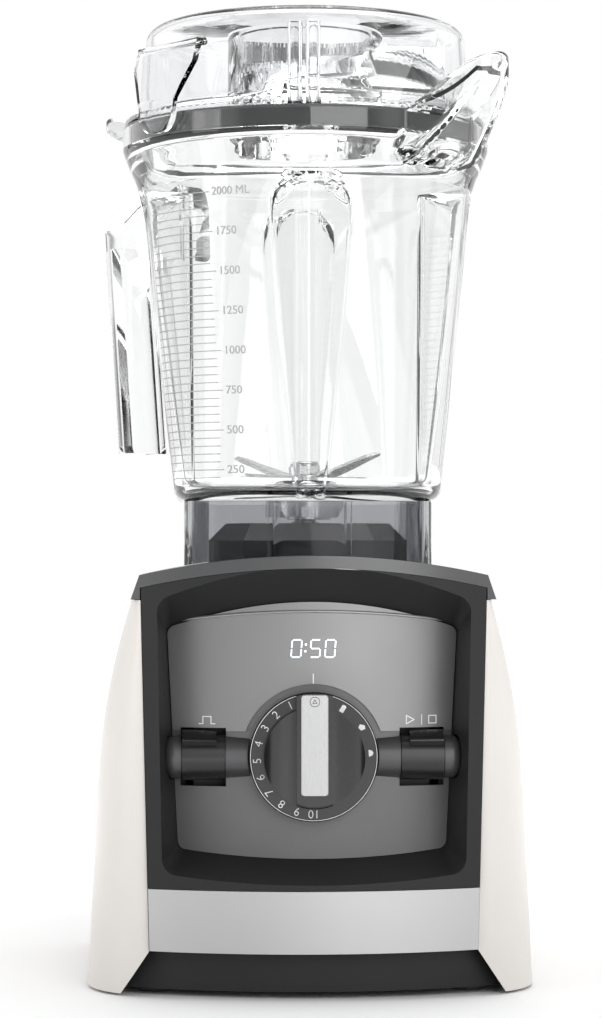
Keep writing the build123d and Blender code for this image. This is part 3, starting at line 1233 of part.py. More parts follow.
# Handle: an arm off the jar's corner and a hollow grip that leans out and hangs free.
handle_lean = (HANDLE_TOP_R - HANDLE_FOOT_R) / (KNUCKLE_Z - HANDLE_BOTTOM_Z)
with BuildPart() as jar_handle:
    with BuildSketch(HANDLE_PLANE.offset(-HANDLE_W / 2)) as grip_side:
        with BuildLine():
            inner_foot = (HANDLE_FOOT_R - HANDLE_T, HANDLE_BOTTOM_Z)
            elbow_z = ARM_ROOT_Z + 4.0
            elbow = (inner_foot[0] + handle_lean * (elbow_z - HANDLE_BOTTOM_Z), elbow_z)
            FilletPolyline((ARM_START_R, ARM_TOP_Z), (HANDLE_TOP_R - 24.0, ARM_TOP_Z),
                           (HANDLE_TOP_R, KNUCKLE_Z), (HANDLE_FOOT_R, HANDLE_BOTTOM_Z),
                           radius=9.0)
            Line((HANDLE_FOOT_R, HANDLE_BOTTOM_Z), inner_foot)
            FilletPolyline(inner_foot, elbow, (ARM_START_R, ARM_ROOT_Z - 2.0), radius=10.0)
            Line((ARM_START_R, ARM_ROOT_Z - 2.0), (ARM_START_R, ARM_TOP_Z))
        make_face()
    extrude(amount=HANDLE_W)
    side_edges = jar_handle.edges().filter_by(
        lambda edge: abs(edge.center().dot(HANDLE_PLANE.z_dir)) > HANDLE_W / 2 - 0.1)
    fillet(side_edges, HANDLE_EDGE_R)
    with BuildSketch(Plane(origin=HANDLE_PLANE.from_local_coords((0, HANDLE_BOTTOM_Z, 0)),
                           x_dir=HANDLE_PLANE.x_dir, z_dir=(0, 0, 1))):
        with Locations((HANDLE_FOOT_R - HANDLE_T / 2, 0)):
            RectangleRounded(HANDLE_T - 2 * HANDLE_WALL, HANDLE_W - 2 * HANDLE_WALL, 2.4)
    extrude(amount=(POCKET_TOP_Z - HANDLE_BOTTOM_Z) * math.hypot(1, handle_lean),
            dir=HANDLE_PLANE.x_dir * handle_lean + Vector(0, 0, 1), mode=Mode.SUBTRACT)
    add(jar_block(0, JAR_BOTTOM_Z), mode=Mode.SUBTRACT)
    with BuildSketch(Plane.XZ):
        with BuildLine():
            Polyline((0, JAR_NECK_Z), *rim_outer, (0, RIM_TOP_Z), (0, JAR_NECK_Z))
        make_face()
    revolve(axis=Axis.Z, mode=Mode.SUBTRACT)
save(jar_handle, "jar_handle")

# Blade bearing: a domed sleeve through the jar's floor, held from below by a ring nut.
with BuildPart() as bearing_housing:
    with BuildSketch(Plane.XZ):
        with BuildLine():
            top, floor = DOME_TOP_Z, JAR_BOTTOM_Z + JAR_FLOOR_T
            Polyline((SLEEVE_BORE_R - 3.0, top), (SLEEVE_BORE_R - 3.0, top - 1.4),
                     (SLEEVE_BORE_R, top - 1.4), (SLEEVE_BORE_R, NUT_BOTTOM_Z - 1.0),
                     (SLEEVE_R, NUT_BOTTOM_Z - 1.0), (SLEEVE_R, floor), (DOME_R, floor))
            ThreePointArc((DOME_R, floor), (DOME_R - 1.6, top - 1.0), (DOME_R - 5.0, top))
            Line((DOME_R - 5.0, top), (SLEEVE_BORE_R - 3.0, top))
        make_face()
    revolve(axis=Axis.Z)
save(bearing_housing, "bearing_housing")

with BuildPart() as retaining_nut:
    add(ring(NUT_R, SLEEVE_R + 0.05, NUT_BOTTOM_Z, JAR_BOTTOM_Z))
    with BuildSketch(Plane.XY.offset(NUT_BOTTOM_Z)):
        with PolarLocations(NUT_R, 8):
            Rectangle(3.0, 5.0)
    extrude(amount=JAR_BOTTOM_Z - NUT_BOTTOM_Z - 2.0, mode=Mode.SUBTRACT)
save(retaining_nut, "retaining_nut")

with BuildPart() as blade_bearings:
    for seat_z in (NUT_BOTTOM_Z, NUT_BOTTOM_Z + 6.2):
        add(ring(SLEEVE_BORE_R - 0.02, BLADE_SHAFT_R + SHAFT_GAP, seat_z, seat_z + 5.6))
save(blade_bearings, "blade_bearings")

with BuildPart() as blade_seal:
    add(ring(SLEEVE_BORE_R - 0.02, BLADE_SHAFT_R + SHAFT_GAP, DOME_TOP_Z - 2.7,
             DOME_TOP_Z - 1.5))
save(blade_seal, "blade_seal")

# Blade: four ground wings, two bent up and two nearly flat.
with BuildPart() as blade:
    with BuildSketch(Plane.XY.offset(BLADE_Z)):
        Circle(BLADE_HUB_R)
    extrude(amount=BLADE_T)
    for turn, rise in WINGS:
        out = Vector(1, 0, 0).rotate(Axis.Y, -rise).rotate(Axis.Z, turn)
        up = Vector(0, 0, 1).rotate(Axis.Y, -rise).rotate(Axis.Z, turn)
        bend = Vector(WING_BEND_R, 0, BLADE_Z).rotate(Axis.Z, turn)
        wing_plane = Plane(origin=bend, x_dir=out, z_dir=up)
        length = (BLADE_R - WING_BEND_R) / math.cos(math.radians(rise)) - 1.0
        with BuildSketch(wing_plane):
            with BuildLine():
                Polyline((0, -WING_ROOT_W / 2), (length - 6.0, -WING_TIP_W / 2),
                         (length, WING_TIP_W * 0.1), (length - 3.0, WING_TIP_W / 2),
                         (0, WING_ROOT_W / 2), close=True)
            make_face()
        extrude(amount=BLADE_T, taper=WING_GRIND)
    with BuildSketch(Plane.XY.offset(BLADE_Z - BLADE_T)):
        Circle(BLADE_SHAFT_R)
    extrude(amount=3 * BLADE_T, mode=Mode.SUBTRACT)
save(blade, "blade")

with BuildPart() as blade_nut:
    with BuildSketch(Plane.XY.offset(BLADE_Z + BLADE_T + 0.8)):
        RegularPolygon(7.5, 6)
        Circle(BLADE_THREAD_R, mode=Mode.SUBTRACT)
    extrude(amount=4.2)
    with BuildSketch(Plane.XY.offset(BLADE_Z + BLADE_T + 5.0)):
        Circle(6.2)
    extrude(amount=2.4)
    fillet(blade_nut.faces().sort_by(Axis.Z)[-1].edges(), 2.0)
save(blade_nut, "blade_nut")

# ======================= lid =======================
def sector_plan(outer_r, inner_r, sweep, middle):
    """Plan of a ring sector of a given sweep, centred on an angle."""
    with BuildSketch() as sector:
        with BuildLine():
            angles = [math.radians(middle + share * sweep) for share in (-0.5, 0, 0.5)]
            outer = [(outer_r * math.cos(a), outer_r * math.sin(a)) for a in angles]
            inner = [(inner_r * math.cos(a), inner_r * math.sin(a)) for a in reversed(angles)]
            ThreePointArc(*outer)
            Line(outer[-1], inner[0])
            ThreePointArc(*inner)
            Line(inner[-1], outer[0])
        make_face()
    return sector.sketch


def leaf(points, thickness, turn, half_width):
    """A thin curved tongue: a side view through three points, as wide as asked."""
    upper = [(r, z + thickness) for r, z in reversed(points)]
    with BuildPart() as tongue:
        with BuildSketch(radial_plane(turn).offset(-half_width)):
            with BuildLine():
                Spline(*points)
                Line(points[-1], upper[0])
                Spline(*upper)
                Line(upper[-1], points[0])
            make_face()
        extrude(amount=2 * half_width)
    return tongue.part


# Lift tab over the handle: a tongue that curls up to a round end.
with BuildPart() as lift_tab:
    add(leaf([(FLANGE_R - 2.0, FLANGE_Z), (104.0, FLANGE_Z + 2.6),
              (LIFT_TAB_REACH, FLANGE_Z + LIFT_TAB_RISE)], LIFT_TAB_T, HANDLE_TURN, LIFT_TAB_HALF))
    with BuildSketch(Plane.XY.offset(FLANGE_Z - 5.0)):
        with Locations(Location((0, 0, 0), (0, 0, HANDLE_TURN))):
            with Locations((LIFT_TAB_REACH - LIFT_TAB_HALF, 0)):
                Circle(LIFT_TAB_HALF)
            with Locations((LIFT_TAB_REACH - LIFT_TAB_HALF, 0)):
                Rectangle(LIFT_TAB_REACH - LIFT_TAB_HALF - LIFT_TAB_ROOT_R, 2 * LIFT_TAB_HALF,
                          align=(Align.MAX, Align.CENTER))
    extrude(amount=40.0, mode=Mode.INTERSECT)

# Shelf over the spout's channel.
with BuildPart() as spout_shelf:
    add(leaf([(FLANGE_R - 3.0, FLANGE_Z + 0.5), (98.0, FLANGE_Z + 5.0),
              (SHELF_REACH, FLANGE_Z + 15.0)], SHELF_T, SPOUT_TURN, SPOUT_ROOT_HALF))
    with BuildSketch(Plane.XY.offset(FLANGE_Z - 5.0)):
        with Locations(Location((0, 0, 0), (0, 0, SPOUT_TURN))):
            add(spout_plan(SPOUT_FLOOR_T + 0.6, SPOUT_ROOT_R))
    extrude(amount=40.0, mode=Mode.INTERSECT)

# Guard: a raised skin on the lid's front wall whose crest climbs in an S to the spout.
with BuildPart() as spout_guard:
    with BuildSketch(Plane.XY.offset(LID_SHOULDER_Z - 1.0)):
        Circle(GUARD_R)
        Circle(LID_TOP_R - 1.0, mode=Mode.SUBTRACT)
    extrude(amount=LID_TOP_Z - LID_EDGE_R - LID_SHOULDER_Z)
    with BuildSketch(Plane.XZ):
        with BuildLine():
            low_z = FLANGE_Z - 1.0
            Spline(*GUARD_CREST)
            Polyline(GUARD_CREST[-1], (GUARD_CREST[-1][0], low_z), (GUARD_CREST[0][0], low_z),
                     GUARD_CREST[0])
        make_face()
    extrude(amount=2 * GUARD_R, mode=Mode.INTERSECT)

# Lid: a tall dished shell with a flange on the jar's rim, a cup for the plug, a lift tab
# over the handle, a shelf over the spout and a guard beside it.
with BuildPart() as lid_shell:
    with BuildSketch(Plane.XZ) as lid_section:
        with BuildLine():
            inner_r = LID_PLUG_WALL_R - LID_WALL
            wall_r = LID_TOP_R + 2.0
            Polyline((LID_PLUG_WALL_R, GASKET_Z[0] - 1.0), (LID_PLUG_WALL_R, FLANGE_Z),
                     (FLANGE_R, FLANGE_Z), (FLANGE_R, LID_SHOULDER_Z),
                     (wall_r + 2.0, LID_SHOULDER_Z), (wall_r, LID_SHOULDER_Z + 5.0),
                     (LID_TOP_R, LID_TOP_Z - LID_EDGE_R))
            RadiusArc((LID_TOP_R, LID_TOP_Z - LID_EDGE_R), (LID_TOP_R - LID_EDGE_R, LID_TOP_Z),
                      -LID_EDGE_R)
            Polyline((LID_TOP_R - LID_EDGE_R, LID_TOP_Z), (CUP_R + 0.8, LID_TOP_Z),
                     (CUP_R, LID_TOP_Z - 1.5), (CUP_R, CUP_FLOOR_Z + CUP_LEDGE_T),
                     (CUP_LEDGE_R, CUP_FLOOR_Z + CUP_LEDGE_T), (CUP_LEDGE_R, CUP_FLOOR_Z),
                     (CUP_TOP_R, CUP_FLOOR_Z), (CUP_TOP_R, LID_TOP_Z - LID_WALL),
                     (LID_TOP_R - LID_EDGE_R, LID_TOP_Z - LID_WALL))
            RadiusArc((LID_TOP_R - LID_EDGE_R, LID_TOP_Z - LID_WALL),
                      (LID_TOP_R - LID_WALL, LID_TOP_Z - LID_EDGE_R), LID_EDGE_R - LID_WALL)
            Polyline((LID_TOP_R - LID_WALL, LID_TOP_Z - LID_EDGE_R),
                     (wall_r - LID_WALL, LID_SHOULDER_Z + 4.0), (inner_r, LID_SHOULDER_Z - 1.0),
                     (inner_r, GASKET_Z[0] - 1.0), (LID_PLUG_WALL_R, GASKET_Z[0] - 1.0))
        make_face()
    revolve(axis=Axis.Z)
    add(lift_tab.part)
    add(spout_shelf.part)
    add(spout_guard.part)
    with BuildSketch(Plane.XY.offset(CUP_FLOOR_Z)):
        for middle in (0, 180):
            add(sector_plan(CUP_R - 0.4, CUP_LEDGE_R - 1.0, TAB_ANGLE + TWIST_ANGLE + 4.0, middle))
    extrude(amount=CUP_LEDGE_T, mode=Mode.SUBTRACT)
save(lid_shell, "lid_shell")

# Gasket: a dark band round the lid's lower wall.
with BuildPart() as lid_gasket:
    add(ring(GASKET_R - 1.0, LID_PLUG_WALL_R, *GASKET_Z))
    for low in (GASKET_Z[0] + 0.8, GASKET_Z[1] - 2.8):
        add(ring(GASKET_R, LID_PLUG_WALL_R, low, low + 2.0))
save(lid_gasket, "lid_gasket")

# Lid plug: a cup with a grip bar across its sunk top and two bayonet tabs below.
with BuildPart() as lid_plug:
    with BuildSketch(Plane.XZ):
        with BuildLine():
            Polyline((0, PLUG_SUNK_Z - PLUG_WALL), (0, PLUG_SUNK_Z),
                     (PLUG_R - 5.5, PLUG_SUNK_Z), (PLUG_R - PLUG_WALL, PLUG_TOP_Z),
                     (PLUG_R, PLUG_TOP_Z), (PLUG_R, PLUG_SHOULDER_Z),
                     (PLUG_NECK_R, PLUG_SHOULDER_Z), (PLUG_NECK_R, PLUG_FOOT_Z),
                     (PLUG_NECK_R - PLUG_WALL, PLUG_FOOT_Z),
                     (PLUG_NECK_R - PLUG_WALL, PLUG_SUNK_Z - PLUG_WALL),
                     (0, PLUG_SUNK_Z - PLUG_WALL))
        make_face()
    revolve(axis=Axis.Z)
    with BuildSketch(Plane.XY.offset(PLUG_SUNK_Z)):
        RectangleRounded(2 * (PLUG_R - 4.0), 2 * PLUG_BAR_HALF, 3.0)
    extrude(amount=PLUG_TOP_Z - 1.0 - PLUG_SUNK_Z)
    with BuildSketch(Plane.XY.offset(PLUG_FOOT_Z)):
        for middle in (-TWIST_ANGLE / 2, 180.0 - TWIST_ANGLE / 2):
            add(sector_plan(CUP_R - 1.4, PLUG_NECK_R - 1.0, TAB_ANGLE, middle))
    extrude(amount=TAB_T)
save(lid_plug, "lid_plug")

with BuildPart() as plug_seal:
    add(ring(PLUG_R - 0.1, PLUG_NECK_R + 0.3, CUP_FLOOR_Z + CUP_LEDGE_T + 0.15,
             PLUG_SHOULDER_Z - 0.15))
save(plug_seal, "plug_seal")

# Lid clips: tapering tongues that hang on a bead at the lid's wall and lap over the rim.
for name, turn in CLIP_TURNS.items():
    clip_plane = radial_plane(turn)
    with BuildPart() as clip:
        with BuildSketch(clip_plane.offset(-CLIP_TOP_HALF)):
            with BuildLine():
                brow_z = CLIP_HINGE_Z + CLIP_T / 2
                brow_r = CLIP_HINGE_R + CLIP_BEAD_R + CLIP_T
                shin_r = RIM_R + 2 * SEAM
                Polyline((CLIP_HINGE_R, brow_z), (CLIP_HINGE_R, brow_z - CLIP_T),
                         (brow_r - CLIP_T, brow_z - CLIP_T), (shin_r, CLIP_KNEE_Z - 0.6),
                         (shin_r, CLIP_FOOT_Z), (shin_r + CLIP_T, CLIP_FOOT_Z),
                         (shin_r + CLIP_T, CLIP_KNEE_Z), (brow_r, brow_z), close=True)
            make_face()
            with Locations((CLIP_HINGE_R, CLIP_HINGE_Z)):
                Circle(CLIP_BEAD_R)
        extrude(amount=2 * CLIP_TOP_HALF)
        with BuildSketch(Plane(origin=(0, 0, 0), x_dir=clip_plane.z_dir, z_dir=clip_plane.x_dir)):
            with BuildLine():
                crown_z = CLIP_HINGE_Z + CLIP_BEAD_R
                Polyline((CLIP_TOP_HALF, -crown_z), (CLIP_TOP_HALF, -CLIP_HINGE_Z + CLIP_CORNER),
                         (CLIP_KNEE_HALF, -CLIP_KNEE_Z), (CLIP_FOOT_HALF, -CLIP_FOOT_Z),
                         (-CLIP_FOOT_HALF, -CLIP_FOOT_Z), (-CLIP_KNEE_HALF, -CLIP_KNEE_Z),
                         (-CLIP_TOP_HALF, -CLIP_HINGE_Z + CLIP_CORNER), (-CLIP_TOP_HALF, -crown_z),
                         close=True)
            tongue = make_face()
            fillet(tongue.vertices().group_by(Axis.Y)[-1], CLIP_CORNER)
        extrude(amount=2 * RIM_R, mode=Mode.INTERSECT)
    save(clip, name)
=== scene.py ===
import math

import bmesh
import bpy
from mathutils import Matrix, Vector


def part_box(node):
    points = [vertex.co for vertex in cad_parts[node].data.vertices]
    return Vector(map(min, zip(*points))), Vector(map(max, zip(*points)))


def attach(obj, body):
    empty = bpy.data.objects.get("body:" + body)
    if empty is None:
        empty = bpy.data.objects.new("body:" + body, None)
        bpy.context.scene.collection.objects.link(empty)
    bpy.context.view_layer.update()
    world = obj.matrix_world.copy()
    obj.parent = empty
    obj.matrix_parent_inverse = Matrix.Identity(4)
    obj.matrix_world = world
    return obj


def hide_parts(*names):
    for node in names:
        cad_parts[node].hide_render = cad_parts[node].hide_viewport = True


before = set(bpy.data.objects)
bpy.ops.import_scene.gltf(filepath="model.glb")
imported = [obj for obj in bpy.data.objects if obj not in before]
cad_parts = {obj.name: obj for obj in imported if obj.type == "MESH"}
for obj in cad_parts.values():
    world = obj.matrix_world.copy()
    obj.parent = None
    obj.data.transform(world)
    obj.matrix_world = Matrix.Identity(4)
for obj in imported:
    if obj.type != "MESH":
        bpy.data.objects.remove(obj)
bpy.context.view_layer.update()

# Looks for a countertop blender.  Everything is in metres, in the frame of the CAD model:
# +Z up, the front faces -Y, and the origin is where the drive axis meets the counter.
MM = 0.001

# Sizes shared with the solids.
FRONT_CENTRE_Y = 74.4 * MM      # centre of the bowed front, in plan
DIAL_Z = 105.0 * MM
DIAL_R = 28.6 * MM

JAR_BOTTOM_Z = 219.0 * MM
JAR_NECK_Z = 366.0 * MM
JAR_BOTTOM_HALF = 61.4 * MM
JAR_BOTTOM_CORNER = 36.0 * MM
JAR_NECK_R = 79.0 * MM
JAR_WALL = 3.0 * MM
JAR_FLOOR_T = 4.0 * MM
JAR_EDGE_R = 6.0 * MM           # rounding between wall and floor, outside
JAR_INNER_EDGE_R = 5.0 * MM     # and inside
RIM_R = 86.5 * MM
RIM_TOP_Z = 396.0 * MM
RIM_WALL = 3.2 * MM
LIP_EDGE = 0.6 * MM             # bevel along the lip
SLEEVE_HOLE_R = 12.06 * MM

FLUTE_CREST_R = 53.5 * MM       # inside the jar
FLUTE_LEAN = math.radians(40.0)
FLUTE_NOSE_R = 4.5 * MM
FLUTE_NOSE_GAIN = 0.8 * MM      # how much rounder a flute's nose is inside the jar
FLUTE_TOP_Z = 368.0 * MM
FLUTE_ARCH_R = 20.5 * MM
FLUTE_SOFT = 0.6 * MM           # rounding where a flute leaves the wall

SPOUT_TURN = math.radians(-45.0)
SPOUT_REACH = math.radians(24.0)    # half the angle that the spout takes of the rim
SPOUT_SOFT = 1.2 * MM           # rounding where the spout leaves the rim
SPOUT_ROOT_R = 73.0 * MM
SPOUT_ROOT_HALF = 27.0 * MM
SPOUT_NOSE_AT = 108.0 * MM
SPOUT_NOSE_R = 12.5 * MM
SPOUT_RISE = 24.0 * MM          # how far the spout's lip stands over the rim
SPOUT_FLOOR_Z = 373.0 * MM      # where the spout's underside leaves the rim
SPOUT_WALL = 3.2 * MM
SPOUT_SLOPE = 1.111             # how fast the spout's underside runs out as it rises
SPOUT_BEND = 7.19               # and how it curls up again, per metre of rise


# ======================= materials =======================
NOISE_LOW, NOISE_HIGH = 0.3, 0.7    # the part of a noise's range that shows
WANDER_SCALE = 38.0                 # how closely shade and gloss wander, per metre
COAT_ROUGHNESS = 0.06
GRAIN_DEPTH = 0.12 * MM
BRUSH_SCALE = 60.0
WAVE_SCALE = 14.0                   # waviness of clear mouldings
WAVE_DEPTH = 0.6 * MM
LIT_GRAIN_SCALE = 200.0


def new_material(name):
    """An empty node material: returns the material, its nodes, its links and its shader."""
    material = bpy.data.materials.new(name)
    material.use_nodes = True
    nodes, links = material.node_tree.nodes, material.node_tree.links
    return material, nodes, links, nodes["Principled BSDF"]


def wire(links, *rows):
    """Links rows of (node, its output, other node, its input)."""
    for source, output, target, entry in rows:
        links.new(source.outputs[output], target.inputs[entry])


def object_noise(nodes, links, scale, detail=2.0):
    """Noise on object coordinates."""
    place = nodes.new("ShaderNodeTexCoord")
    noise = nodes.new("ShaderNodeTexNoise")
    noise.inputs["Scale"].default_value = scale
    noise.inputs["Detail"].default_value = detail
    wire(links, (place, "Object", noise, "Vector"))
    return noise


def tint_by_noise(nodes, links, noise, dark, light, shader):
    """Colour that wanders between two shades."""
    ramp = nodes.new("ShaderNodeValToRGB")
    ramp.color_ramp.elements[0].color = (*dark, 1)
    ramp.color_ramp.elements[1].color = (*light, 1)
    ramp.color_ramp.elements[0].position = NOISE_LOW
    ramp.color_ramp.elements[1].position = NOISE_HIGH
    wire(links, (noise, "Fac", ramp, "Fac"), (ramp, "Color", shader, "Base Color"))


def bump_by_noise(nodes, links, noise, strength, depth, shader):
    """Fine relief from noise, depth in metres."""
    bump = nodes.new("ShaderNodeBump")
    bump.inputs["Strength"].default_value = strength
    bump.inputs["Distance"].default_value = depth
    wire(links, (noise, "Fac", bump, "Height"), (bump, "Normal", shader, "Normal"))


def map_range(nodes, from_low, from_high, to_low, to_high):
    """A node that maps one range of values to another."""
    reach = nodes.new("ShaderNodeMapRange")
    reach.inputs["From Min"].default_value = from_low
    reach.inputs["From Max"].default_value = from_high
    reach.inputs["To Min"].default_value = to_low
    reach.inputs["To Max"].default_value = to_high
    return reach


def rough_by_noise(nodes, links, noise, low, high, shader):
    """Roughness that wanders between two values."""
    reach = map_range(nodes, NOISE_LOW, NOISE_HIGH, low, high)
    wire(links, (noise, "Fac", reach, "Value"), (reach, "Result", shader, "Roughness"))


def moulded_plastic(name, shade, spread, roughness, grain_scale=0, grain=0.0, coat=0.0,
                    metallic=0.0, specular=0.5):
    """Moulded plastic, paint or metal: a wandering shade, wandering gloss and a fine grain."""
    material, nodes, links, shader = new_material(name)
    shader.inputs["Metallic"].default_value = metallic
    shader.inputs["Specular IOR Level"].default_value = specular
    if coat:
        shader.inputs["Coat Weight"].default_value = coat
        shader.inputs["Coat Roughness"].default_value = COAT_ROUGHNESS
    wander = object_noise(nodes, links, WANDER_SCALE)
    dark = [c * (1 - spread) for c in shade]
    light = [min(1.0, c * (1 + spread)) for c in shade]
    tint_by_noise(nodes, links, wander, dark, light, shader)
    rough_by_noise(nodes, links, wander, roughness * 0.92, roughness * 1.08, shader)
    if grain:
        fine = object_noise(nodes, links, grain_scale, 1.0)
        bump_by_noise(nodes, links, fine, grain, GRAIN_DEPTH, shader)
    return material


def brushed_metal(name, shade, roughness, stretch, streak=0.06):
    """Metal with fine streaks: noise squeezed along one axis."""
    material, nodes, links, shader = new_material(name)
    shader.inputs["Metallic"].default_value = 1.0
    place = nodes.new("ShaderNodeTexCoord")
    squeeze = nodes.new("ShaderNodeMapping")
    squeeze.inputs["Scale"].default_value = stretch
    noise = nodes.new("ShaderNodeTexNoise")
    noise.inputs["Scale"].default_value = BRUSH_SCALE
    noise.inputs["Detail"].default_value = 3.0
    wire(links, (place, "Object", squeeze, "Vector"), (squeeze, "Vector", noise, "Vector"))
    dark = [c * (1 - streak) for c in shade]
    light = [min(1.0, c * (1 + streak)) for c in shade]
    tint_by_noise(nodes, links, noise, dark, light, shader)
    rough_by_noise(nodes, links, noise, roughness * 0.85, roughness * 1.15, shader)
    return material


def clear_plastic(name, tint, roughness, ior=1.5):
    """Clear moulded plastic with a very slight waviness."""
    material, nodes, links, shader = new_material(name)
    shader.inputs["Base Color"].default_value = (*tint, 1)
    shader.inputs["Transmission Weight"].default_value = 1.0
    shader.inputs["IOR"].default_value = ior
    wave = object_noise(nodes, links, WAVE_SCALE, 0.0)
    rough_by_noise(nodes, links, wave, roughness, roughness * 1.6 + 0.004, shader)
    bump_by_noise(nodes, links, wave, 0.12, WAVE_DEPTH, shader)
    return material


def glowing(name, shade, strength):
    """A lit mark."""
    material, nodes, links, shader = new_material(name)
    shader.inputs["Base Color"].default_value = (*shade, 1)
    shader.inputs["Emission Color"].default_value = (*shade, 1)
    shader.inputs["Emission Strength"].default_value = strength
    wander = object_noise(nodes, links, LIT_GRAIN_SCALE)
    rough_by_noise(nodes, links, wander, 0.4, 0.6, shader)
    return material


FINISH = {
    "white_paint": moulded_plastic("warm_white_paint", (0.66, 0.63, 0.60), 0.01, 0.36, coat=0.12),
    "charcoal": moulded_plastic("textured_charcoal", (0.0125, 0.0125, 0.0133), 0.08, 0.55, 2600, 0.5,
                                specular=0.35),
    "band": moulded_plastic("satin_black_band", (0.030, 0.031, 0.033), 0.03, 0.30, specular=1.0),
    "control": moulded_plastic("textured_panel_grey", (0.15, 0.15, 0.152), 0.05, 0.52, 2200, 0.8,
                               metallic=0.5),
    "overlay": moulded_plastic("pearl_grey_overlay", (0.24, 0.24, 0.242), 0.01, 0.42, metallic=0.7),
    "gloss_black": moulded_plastic("gloss_black", (0.014, 0.014, 0.015), 0.05, 0.14),
    "lever": moulded_plastic("satin_grey_lever", (0.018, 0.018, 0.019), 0.04, 0.26),
    "bar": moulded_plastic("metallic_grey_bar", (0.09, 0.09, 0.093), 0.04, 0.38, 2400, 0.3,
                           metallic=0.5),
    "pad": moulded_plastic("gloss_pad", (0.036, 0.037, 0.039), 0.03, 0.20),
    "rubber": moulded_plastic("dark_rubber", (0.040, 0.040, 0.042), 0.05, 0.55, 1500, 0.2),
    "silver": brushed_metal("satin_silver", (0.50, 0.50, 0.505), 0.50, (1, 12, 60), 0.03),
    "rim": moulded_plastic("satin_rim", (0.30, 0.30, 0.303), 0.02, 0.30, metallic=0.6),
    "pointer": brushed_metal("satin_pointer", (0.40, 0.40, 0.405), 0.26, (40, 40, 1.5), 0.03),
    "steel": brushed_metal("ground_steel", (0.46, 0.46, 0.465), 0.28, (4, 4, 30), 0.08),
    "hub_steel": brushed_metal("turned_steel", (0.62, 0.62, 0.63), 0.2, (2, 2, 90), 0.05),
    "clear": clear_plastic("clear_copolyester", (0.94, 0.945, 0.945), 0.0),
    "clear_floor": clear_plastic("floor_copolyester", (0.94, 0.945, 0.945), 0.03, 1.04),
    "frosted": clear_plastic("handle_copolyester", (0.985, 0.99, 0.99), 0.05, 1.2),
    "lid_clear": clear_plastic("clear_lid_plastic", (0.945, 0.95, 0.955), 0.01, 1.4),
    "tab": clear_plastic("lift_tab_plastic", (0.74, 0.745, 0.75), 0.06, 1.25),
    "smoke": clear_plastic("light_smoke_plastic", (0.56, 0.565, 0.58), 0.02, 1.2),
    "mark": moulded_plastic("white_print", (0.80, 0.80, 0.80), 0.02, 0.6),
    "jar_mark": moulded_plastic("moulded_mark", (0.36, 0.36, 0.365), 0.02, 0.7),
    "lit": glowing("lit_digits", (0.90, 0.93, 0.97), 0.65),
    "copper": brushed_metal("enamelled_copper", (0.55, 0.24, 0.12), 0.35, (60, 4, 4), 0.15),
    "laminated": brushed_metal("steel_laminations", (0.2, 0.2, 0.21), 0.5, (1, 1, 200), 0.25),
    "cast": moulded_plastic("cast_aluminium", (0.5, 0.5, 0.51), 0.06, 0.5, 900, 0.5, metallic=1.0),
    "brass": brushed_metal("brass", (0.72, 0.55, 0.25), 0.35, (30, 4, 4), 0.06),
    # The control board is coloured near black as painted shade: seen through the slots round the
    # paddles, it stands for the dark shade in those gaps.
    "board": moulded_plastic("painted_slot_shade_board", (0.010, 0.011, 0.011), 0.1, 0.4),
    "ivory": moulded_plastic("ivory_plastic", (0.62, 0.60, 0.55), 0.03, 0.45, 900, 0.2),
    "screen": moulded_plastic("screen_glass", (0.16, 0.16, 0.163), 0.01, 0.2, metallic=0.6),
}

NODE_FINISH = {
    "white_paint": ["left_side_panel", "right_side_panel"],
    "charcoal": ["front_bezel", "rear_cover", "bottom_plate", "motor_housing", "cord_gland",
                 "power_switch_frame"],
    "band": ["top_deck"],
    "control": ["control_panel"],
    "overlay": ["panel_overlay"],
    "gloss_black": ["dial_knob", "pulse_switch", "start_stop_switch", "dial_encoder",
                    "carbon_brushes", "power_rocker", "pulse_key", "start_stop_key"],
    "pointer": ["dial_pointer"],
    "silver": ["front_trim_plate"],
    "bar": ["left_bar", "right_bar"],
    "lever": ["pulse_paddle", "start_stop_paddle"],
    "screen": ["timer_display"],
    "pad": ["centring_pad"],
    "rubber": ["rubber_feet", "lid_gasket", "plug_seal", "blade_seal"],
    "smoke": ["jar_skirt"],
    "clear": ["jar"],
    "frosted": ["jar_handle"],
    "lid_clear": ["lid_shell", "lid_plug", "front_lid_clip", "rear_lid_clip"],
    "steel": ["blade", "blade_nut", "blade_shaft", "drive_socket", "motor_shaft"],
    "hub_steel": ["bearing_housing", "retaining_nut", "blade_bearings", "lower_bearing",
                  "upper_bearing"],
    "laminated": ["motor_stator", "motor_rotor"],
    "copper": ["field_windings", "commutator"],
    "cast": ["lower_bracket", "upper_bracket"],
    "brass": ["brush_holders"],
    "ivory": ["cooling_fan"],
    "board": ["control_board"],
}
for finish_name, node_names in NODE_FINISH.items():
    for node_name in node_names:
        node_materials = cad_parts[node_name].data.materials
        node_materials.clear()
        node_materials.append(FINISH[finish_name])


# ======================= mesh helpers =======================
MERGE_WITHIN = 0.001 * MM


def put(name, data):
    """A new object in the scene that shows some data."""
    holder = bpy.data.objects.new(name, data)
    bpy.context.scene.collection.objects.link(holder)
    return holder


def taken_mesh(holder):
    """The plain mesh an object shows; the object itself is removed."""
    shaped = holder.evaluated_get(bpy.context.evaluated_depsgraph_get())
    mesh = bpy.data.meshes.new_from_object(shaped)
    bpy.data.objects.remove(holder)
    return mesh


def make_piece(name, vertices, faces, finish, body, slot, sharp=35.0):
    """A mesh piece from points and faces, smooth except at sharp edges, riding on a body."""
    mesh = bpy.data.meshes.new(name)
    mesh.from_pydata([tuple(v) for v in vertices], [], faces)
    return dress_mesh(name, mesh, finish, body, sharp)


